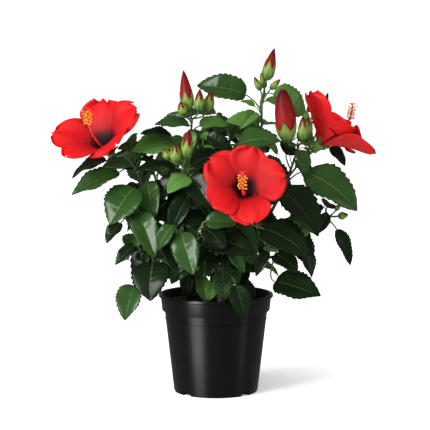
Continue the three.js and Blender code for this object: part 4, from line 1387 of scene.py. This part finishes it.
# Both together, at every step along the column.
stamen = node(stamen_tree, "GeometryNodeJoinGeometry")
for part in (rod_skin, cushion_skin):
    stamen_tree.links.new(part.outputs["Geometry"], stamen.inputs["Geometry"])
size = node(stamen_tree, "FunctionNodeRandomValue", {2: 0.7, 3: 1.15, "Seed": 5}, data_type="FLOAT")
scale = node(stamen_tree, "ShaderNodeMath", {0: size.outputs[1], 1: given["Length"]}, operation="MULTIPLY")
setting = {"Points": steps, "Instance": stamen, "Rotation": facing, "Scale": scale}
set_out = node(stamen_tree, "GeometryNodeInstanceOnPoints", setting)
real = node(stamen_tree, "GeometryNodeRealizeInstances", {"Geometry": set_out})
rounded = node(stamen_tree, "GeometryNodeSetShadeSmooth", {"Geometry": real})
node(stamen_tree, "NodeGroupOutput", {"Geometry": rounded})
print("nodes of the stamen tree:", len(stamen_tree.nodes))

# %% [markdown]
# Behind the petals a calyx with five lobes stands in a ring of narrow bracts. The cup hugs whatever
# stands in it, so the buds get the same one.

# %% Calyces, bracts and stalks of the blooms
LOBES = 5
CUP_RINGS = (-0.01, 0, 0.03, 0.08, 0.16, 0.26, 0.36, 0.47, 0.58, 0.69, 0.79, 0.87, 0.92)
RIM_AT = 0.87
HOLLOW_TO = 0.25
CALYX_BEHIND = 0.6
BLOOM_BRACTS = {"length": 9, "count": 8, "spread": 5}


def stalk_bend(start, foot, aim):
    """A stalk that comes to its foot along the aim."""
    return Bend(start, foot - aim * (0.45 * (foot - start).length), foot)


def calyx(skin, foot, tip, around, wrapped, thick):
    """A hollow cup that hugs what stands in it as far as wrapped, its rim drawn out into pointed lobes."""

    def ring(share, turn):
        point = (0.5 + 0.5 * math.cos(LOBES * turn)) ** 1.4
        rim = wrapped * mix(0.62, 1, point)
        fall = share / RIM_AT
        if fall > 1:
            return 0.5 * around(HOLLOW_TO * rim), HOLLOW_TO * rim
        return around(rim * fall) + thick * (1.1 - 0.6 * fall), rim * fall

    turned(skin, foot, tip, ring, [*CUP_RINGS, HOLLOW_TO * wrapped], 8 * LOBES)


def ring_of_bracts(paths, foot, axis, length, count, spread):
    """Narrow bracts that stand round the foot of a calyx."""
    for out in spokes(axis, count, 0.3):
        bend = Bend(foot + out * 0.8, foot + out * spread, foot + out * spread * 1.25 + axis * length)
        paths.add(bend.at, lambda t: 0.75 * (1 - t) + 0.12, 5)


bloom_stalks, bracts, cups = Paths(), Paths(), Skin()
bloom_nodes = [f"bloom_{name}" for name in BLOOMS]
for bloom in BLOOMS.values():
    throat, axis, _, _ = bloom_axes(bloom)
    size = bloom[4]
    base = throat - axis * (CALYX_BEHIND * size)
    bend = stalk_bend(shoot_curve(bloom[0]).at(bloom[1]), base + axis * 2, axis)
    bloom_stalks.add(bend.at, lambda t: mix(1.3, 1.9, t), 14)
    calyx(cups, base - axis, throat, lambda s: 1.2 + size * (0.05 + 0.95 * s**2.1), 0.5, 0.8)
    ring_of_bracts(bracts, base, axis, **BLOOM_BRACTS)
dress(cups.piece("bloom_calyces", [calyx_skin], with_uv=True), bloom_nodes)
dress(bloom_stalks.grow("bloom_stalks", 10, stalk_skin), bloom_nodes)

# %% [markdown]
# Out of the throat rises the column that a hibiscus is known by. It carries the stamens round its last
# quarter and ends in five short branches, each with a round pad.

# %% Columns, stamens and pads
STAMENS = {"Count": 38, "From": 0.76, "Length": 5.2 * MM, "Filament": filament, "Pollen": pollen}
STEPS = 20
PADS = 5


def pad_ring(share, turn):
    return math.sin(math.pi * clamp(share, 0.02, 0.98)), share


columns, stigmas, pads = Paths(), Paths(), Skin()
for name, bloom in BLOOMS.items():
    throat, axis, _, _ = bloom_axes(bloom)
    base = throat - axis * (CALYX_BEHIND * bloom[4])
    tip = throat + axis * COLUMN["reach"] + vec(0, 0, COLUMN["rise"])
    column = stalk_bend(base + axis * 4, tip, vec(0, 0, 1))
    columns.add(column.at, lambda t: mix(2.0, 0.9, t), STEPS)
    mesh = marked_mesh([column.at(k / STEPS) for k in range(STEPS + 1)], [(k, k + 1) for k in range(STEPS)])
    dress(grown(f"stamens_{name}", mesh, stamen_tree, **STAMENS), [f"bloom_{name}"])
    ahead = column.along(1)
    for out in spokes(ahead, PADS):
        end = tip + ahead * 2.6 + out * 2.4
        stigmas.add(Bend(tip - ahead, tip + ahead * 1.5, end).at, lambda t: 0.35, 4)
        turned(pads, end - ahead * 0.9, end + ahead * 0.9, pad_ring, [k / 6 for k in range(7)], 8)
dress(pads.piece("stigma_pads", [stigma_pad]), bloom_nodes)
dress(columns.grow("stamen_columns", 12, column_skin), bloom_nodes)
dress(stigmas.grow("stigma_branches", 6, stigma_pad), bloom_nodes)

# %% [markdown]
# ## Buds
# A closed bud is five petals rolled into a cone, so its skin shows five slanting folds. The calyx holds
# its lower part with five pointed lobes, and narrow bracts stand round its foot. Young buds are nearly
# all calyx. Five real petals could be wound round each other, but only their outermost folds show.

# %% Shape of a bud
FOLDS = 5
BARREL_FROM = 20


def bud_body(width):
    """Half the width of a bud up its height. A broad bud is a barrel, the others are slim cones."""
    low, blunt = (0.85, 0.55) if width > BARREL_FROM else (0.66, 0.8)
    return lambda share: 0.5 * width * math.sin(math.pi * clamp(share, 0, 1) ** low) ** blunt


def rolled_petals(body):
    """Every fold swells on the way round and then drops to the next one, and all of them slant."""

    def ring(share, turn):
        fold = ((turn * FOLDS / (2 * math.pi) + 1.3 * share) % 1.0) - 0.5
        return body(share) * (0.96 + 0.1 * fold), share

    return ring


print("a bud 24 mm wide, at half its height:", round(2 * bud_body(24)(0.5), 1), "mm")

# %% [markdown]
# A spray starts where its shoot ends, and each bud has a bent stalk of its own. The first bud of a spray
# is the oldest, on the thickest stalk.

# %% Grow the buds
BUD_RINGS, BUD_SIDES = 22, 30
bud_rings = [0.02 + 0.98 * k / BUD_RINGS for k in range(BUD_RINGS + 1)]
rolled, calyces, bud_stalks = Skin(), Skin(), Paths()
for shoot, buds in BUDS.values():
    curve = shoot_curve(shoot)
    head = curve.at(1) + curve.along(1) * (GAP + 2.2)
    bud_stalks.add(lambda t: curve.at(1).lerp(head, t), lambda t: BOUGH["tip"], 2)
    for k, (foot, tip, width, wrapped) in enumerate(buds):
        foot, tip = vec(*foot), vec(*tip)
        axis, body = (tip - foot).normalized(), bud_body(width)
        bend = stalk_bend(head - curve.along(1), foot + axis * 1.5, axis)
        bud_stalks.add(bend.at, lambda t: 1.15 if k == 0 else 0.95, 12)
        turned(rolled, foot, tip, rolled_petals(body), bud_rings, BUD_SIDES)
        calyx(calyces, foot, tip, body, min(wrapped * 1.15, 0.93 if width > 9 else 0.98), 0.06 * width)
        ring_of_bracts(bracts, foot, axis, clamp(0.3 * (tip - foot).length, 5, 11), 7, width / 2 * 0.95)

bud_nodes = [f"buds_{name}" for name in BUDS]
dress(rolled.piece("rolled_bud_petals", [bud_petal], with_uv=True), bud_nodes)
dress(calyces.piece("bud_calyces", [calyx_skin], with_uv=True), bud_nodes)
dress(bud_stalks.grow("bud_stalks", 9, stalk_skin), bud_nodes)
dress(bracts.grow("bracts", 5, bract_skin), bud_nodes + bloom_nodes)

# %% [markdown]
# ## Pot
# The pot is a thin shell with a stepped collar and a rolled lip. Its outline is turned round the axis,
# and four slots are cut through the corner between wall and floor, so that water can drain. One
# outline for both sides of the wall gives the shell its thickness without a modifier.

# %% Measures of the pot
POT = {"height": 113, "lip": 65.5, "collar": 63.2, "collar_foot": 61.6, "body": 58.8, "foot": 48, "wall": 1.6}
COLLAR_DROP = 19
COLLAR_FOOT = POT["height"] - COLLAR_DROP
FLOOR = 3


def wall(share, out=0):
    """A point of the outline, by its share of the way from the foot to the collar."""
    return mix(POT["foot"], POT["body"], share) + out, COLLAR_FOOT * share


def inner_radius(z):
    if z > COLLAR_FOOT:
        outer = mix(POT["collar_foot"], POT["collar"], (z - COLLAR_FOOT) / COLLAR_DROP)
    else:
        outer = wall(z / COLLAR_FOOT)[0]
    return outer - POT["wall"]


print("inner radius at floor and soil:", [round(inner_radius(z), 1) for z in (FLOOR, SOIL_TOP)])

# %% [markdown]
# The outline goes from the middle of the underside out to the foot, up the wall and the collar, over
# the lip, and down inside to the middle of the floor.

# %% Turn the pot


def lathe(name, profile, sides, material):
    """A body turned round the vertical from (radius, height) pairs that start and end on the axis."""
    skin = Skin()
    loops = []
    for radius, height in profile:
        if radius == 0:
            loops.append([skin.point(vec(0, 0, height))] * sides)
            continue
        turns = [2 * math.pi * k / sides for k in range(sides)]
        ring = [vec(radius * math.cos(turn), radius * math.sin(turn), height) for turn in turns]
        loops.append([skin.point(p) for p in ring])
    for a, b in zip(loops, loops[1:]):
        for k in range(sides):
            n = (k + 1) % sides
            skin.face([a[k], a[n], b[n], b[k]])
    return skin.piece(name, [material])


foot, top, lip = POT["foot"], POT["height"], POT["lip"]
POT_OUTLINE = [
    (0, 0.6),
    (foot - 7, 0.6),
    (foot - 6, 0),
    (foot - 2.2, 0),
    (foot - 0.7, 0.5),
    (foot, 1.9),
    wall(0.5),
    wall(0.885),
    wall(0.89, out=0.5),
    wall(0.9, out=0.5),
    wall(0.905),
    (POT["body"], COLLAR_FOOT - 0.3),
    (POT["collar_foot"] - 0.5, COLLAR_FOOT + 0.1),
    (POT["collar_foot"], COLLAR_FOOT + 0.7),
    (POT["collar"], top - 4.2),
    (lip - 0.6, top - 3.6),
    (lip, top - 3.0),
    (lip, top - 0.9),
    (lip - 0.3, top - 0.3),
    (lip - 0.9, top),
    (POT["collar"] - POT["wall"] + 0.3, top),
    (POT["collar"] - POT["wall"], top - 0.3),
    (inner_radius(COLLAR_FOOT + 0.1), COLLAR_FOOT + 1.6),
    (inner_radius(COLLAR_FOOT), COLLAR_FOOT - 0.4),
    (inner_radius(0) + 0.2, FLOOR),
    (0, FLOOR),
]
pot = lathe("nursery_pot", POT_OUTLINE, 128, polypropylene)
print("rings of the pot:", len(POT_OUTLINE))

# %% [markdown]
# Water leaves the pot through four slots at the edge of its foot. A Boolean cuts them, because each
# slot goes through both the floor and the wall.

# %% Cut the drain slots
SLOT = {"count": 4, "deep": 9, "wide": 13, "high": 7, "inset": 2.25}
BOX = [(a, b, c) for a in (-0.5, 0.5) for b in (-0.5, 0.5) for c in (-0.5, 0.5)]
BOX_FACES = [(0, 1, 3, 2), (4, 6, 7, 5), (0, 4, 5, 1), (2, 3, 7, 6), (0, 2, 6, 4), (1, 5, 7, 3)]
cutters = []
for k in range(SLOT["count"]):
    turn = 2 * math.pi * (k + 0.5) / SLOT["count"]
    out, side = vec(math.cos(turn), math.sin(turn), 0), vec(-math.sin(turn), math.cos(turn), 0)
    deep, wide, high = out * SLOT["deep"], side * SLOT["wide"], vec(0, 0, SLOT["high"])
    middle = out * (POT["foot"] - SLOT["inset"])
    corners = [middle + deep * a + wide * b + high * c for a, b, c in BOX]
    cutter = new_piece(f"slot {k}", corners, BOX_FACES, [polypropylene])
    modifier = pot.modifiers.new("slot", "BOOLEAN")
    modifier.object, modifier.operation, modifier.solver = cutter, "DIFFERENCE", "EXACT"
    cutters.append(cutter)
graph = bpy.context.evaluated_depsgraph_get()
cut = bpy.data.meshes.new_from_object(pot.evaluated_get(graph), depsgraph=graph)
pot.modifiers.clear()
pot.data = cut
for cutter in cutters:
    bpy.data.objects.remove(cutter)
pot.data.set_sharp_from_angle(angle=math.radians(35))
dress(pot, ["pot"])

# %% [markdown]
# ## Soil
# The body of the soil is turned like the pot, a little clear of its wall, with a top that is slightly
# uneven from ring to ring.

# %% Turn the soil
clear = GAP + 0.15
TOP_RINGS = 9
at_top = inner_radius(SOIL_TOP) - clear
SOIL_OUTLINE = [
    (0, FLOOR + GAP),
    (inner_radius(0) - clear, FLOOR + GAP),
    (inner_radius(COLLAR_FOOT) - clear, COLLAR_FOOT - 0.4),
    (inner_radius(COLLAR_FOOT + 0.1) - clear, COLLAR_FOOT + 1.6),
    (at_top, SOIL_TOP - 1.2),
    (at_top - 2, SOIL_TOP - 0.4),
    *[(SOIL_REACH * (1 - k / TOP_RINGS), SOIL_TOP - 0.4 * (k % 2)) for k in range(TOP_RINGS)],
    (0, SOIL_TOP),
]
dress(lathe("potting_soil", SOIL_OUTLINE, 64, peat), ["soil"])

# %% [markdown]
# Crumbs of bark and peat lie scattered on the soil. Geometry Nodes scatter them on a disc with a fixed
# seed; each is a small lump with its own size and turn.

# %% The crumb tree
FULL_TURN = 6.28
crumb_tree, given = new_tree("crumbs", Density="Float", Size="Float", Crumb="Material")
scattering = {"Mesh": given["Geometry"], "Density": given["Density"], "Seed": 3}
spots = node(crumb_tree, "GeometryNodeDistributePointsOnFaces", scattering)
lump = node(crumb_tree, "GeometryNodeMeshIcoSphere", {"Radius": 1.0, "Subdivisions": 1})
turns = {0: (0, 0, 0), 1: (FULL_TURN, FULL_TURN, FULL_TURN), "Seed": 1}
turn = node(crumb_tree, "FunctionNodeRandomValue", turns, data_type="FLOAT_VECTOR")
sizes = {0: (0.5, 0.4, 0.3), 1: (1.6, 1.0, 0.8), "Seed": 2}
size = node(crumb_tree, "FunctionNodeRandomValue", sizes, data_type="FLOAT_VECTOR")
scaling = {0: size, "Scale": given["Size"]}
scale = node(crumb_tree, "ShaderNodeVectorMath", scaling, operation="SCALE")
setting = {"Points": spots, "Instance": lump, "Rotation": turn, "Scale": scale}
set_out = node(crumb_tree, "GeometryNodeInstanceOnPoints", setting)
real = node(crumb_tree, "GeometryNodeRealizeInstances", {"Geometry": set_out})
skin = {"Geometry": real, "Material": given["Crumb"]}
skinned = node(crumb_tree, "GeometryNodeSetMaterial", skin)
node(crumb_tree, "NodeGroupOutput", {"Geometry": skinned})
print("nodes of the crumb tree:", len(crumb_tree.nodes))

# %% [markdown]
# The disc is as wide as the even part of the soil. It only says where crumbs may lie, and is gone in
# the finished piece.

# %% Scatter the crumbs
CRUMBS = {"count": 2600, "size": 1.5, "rim": 48}
disc = bpy.data.meshes.new("soil top")
turns = [2 * math.pi * k / CRUMBS["rim"] for k in range(CRUMBS["rim"])]
rim = [vec(SOIL_REACH * math.cos(turn), SOIL_REACH * math.sin(turn), SOIL_TOP) * MM for turn in turns]
disc.from_pydata([tuple(p) for p in rim], [], [list(range(CRUMBS["rim"]))])
density = CRUMBS["count"] / (math.pi * (SOIL_REACH * MM) ** 2)
crumbs = {"Density": density, "Size": CRUMBS["size"] * MM, "Crumb": bark_crumb}
dress(grown("bark_crumbs", disc, crumb_tree, **crumbs), ["soil"])

# %% [markdown]
# ## Floor, light and camera
# The photograph is lit softly from the left and from above, with a narrow light at the right: the
# pot's wall shows a broad highlight left of its middle and a thin one near its right edge. The camera
# is far away, a little above the pot, and looks slightly down.

# %% Floor
FLOOR_HALF = 2000
glow = {"Emission_Color": linear("#ffffff"), "Emission_Strength": 0.35}
corners = [(FLOOR_HALF * x, FLOOR_HALF * y, 0) for x, y in ((-1, -1), (1, -1), (1, 1), (-1, 1))]
floor = bpy.data.meshes.new("floor")
floor.from_pydata(corners, [], [(0, 1, 2, 3)])
floor.materials.append(new_material("pale floor", "#f4f4f4", 0.9, **glow)[0])
floor_piece = bpy.data.objects.new("floor", floor)
bpy.context.collection.objects.link(floor_piece)
floor_piece.visible_glossy = False
print("floor:", 2 * FLOOR_HALF, "m square")

# %% [markdown]
# A tall softbox stands at the left, a narrow one at the right, and broad daylight comes from above. The
# photograph shows the wall of the pot deep black beside the two streaks, as through a polarising filter.
# So daylight and floor light the plant here but aren't mirrored in it.

# %% Lights
world = bpy.data.worlds.new("studio")
bpy.context.scene.world = world
world.use_nodes = True
background = world.node_tree.nodes["Background"].inputs
background["Color"].default_value = linear("#ffffff")
background["Strength"].default_value = 0.16
MIDDLE = vec(0, 0, 200) * MM


def softbox(name, azimuth, elevation, distance, width, height, power):
    """A soft light that faces the plant. Azimuth 0 is in front, and goes round to the right."""
    light = bpy.data.lights.new(name, "AREA")
    light.shape, light.size, light.size_y, light.energy = "RECTANGLE", width, height, power
    obj = bpy.data.objects.new(name, light)
    way = heading(azimuth - 90, elevation)
    obj.location = MIDDLE + way * distance
    obj.rotation_euler = (-way).to_track_quat("-Z", "Y").to_euler()
    bpy.context.collection.objects.link(obj)


softbox("key", azimuth=-44, elevation=14, distance=1.3, width=0.6, height=1.0, power=25)
softbox("edge", azimuth=66, elevation=14, distance=1.3, width=0.3, height=1.0, power=1.8)

sun = bpy.data.lights.new("daylight", "SUN")
sun.energy, sun.angle = 3.2, math.radians(80)
sun_piece = bpy.data.objects.new("daylight", sun)
SUN_FROM = heading(-112, 66)
sun_piece.rotation_euler = (-SUN_FROM).to_track_quat("-Z", "Y").to_euler()
sun_piece.visible_glossy = False
bpy.context.collection.objects.link(sun_piece)
print("lights:", ", ".join(light.name for light in bpy.data.lights))

# %% [markdown]
# A long lens draws near and far leaves at nearly the same size, as in the photograph. The camera looks
# down by the angle at which the far rim of the pot shows over the near one.

# %% Camera
SENSOR = 36
SIZE_OF_PHOTO = 430
MM_PER_PIXEL = 1.14
DISTANCE = 2200
TILT = math.radians(6.4)
AIM = vec(-1.1, 0, 203)
camera = bpy.data.cameras.new("camera")
camera.sensor_width = SENSOR
camera.lens = SENSOR * DISTANCE / MM_PER_PIXEL / SIZE_OF_PHOTO
camera.clip_end = 4000
eye = bpy.data.objects.new("camera", camera)
eye.location = (AIM + vec(0, -math.cos(TILT), math.sin(TILT)) * DISTANCE) * MM
eye.rotation_euler = (math.pi / 2 - TILT, 0, 0)
bpy.context.collection.objects.link(eye)
bpy.context.scene.camera = eye
bpy.context.scene.view_settings.view_transform = "Standard"
print("lens:", round(camera.lens, 1), "mm")
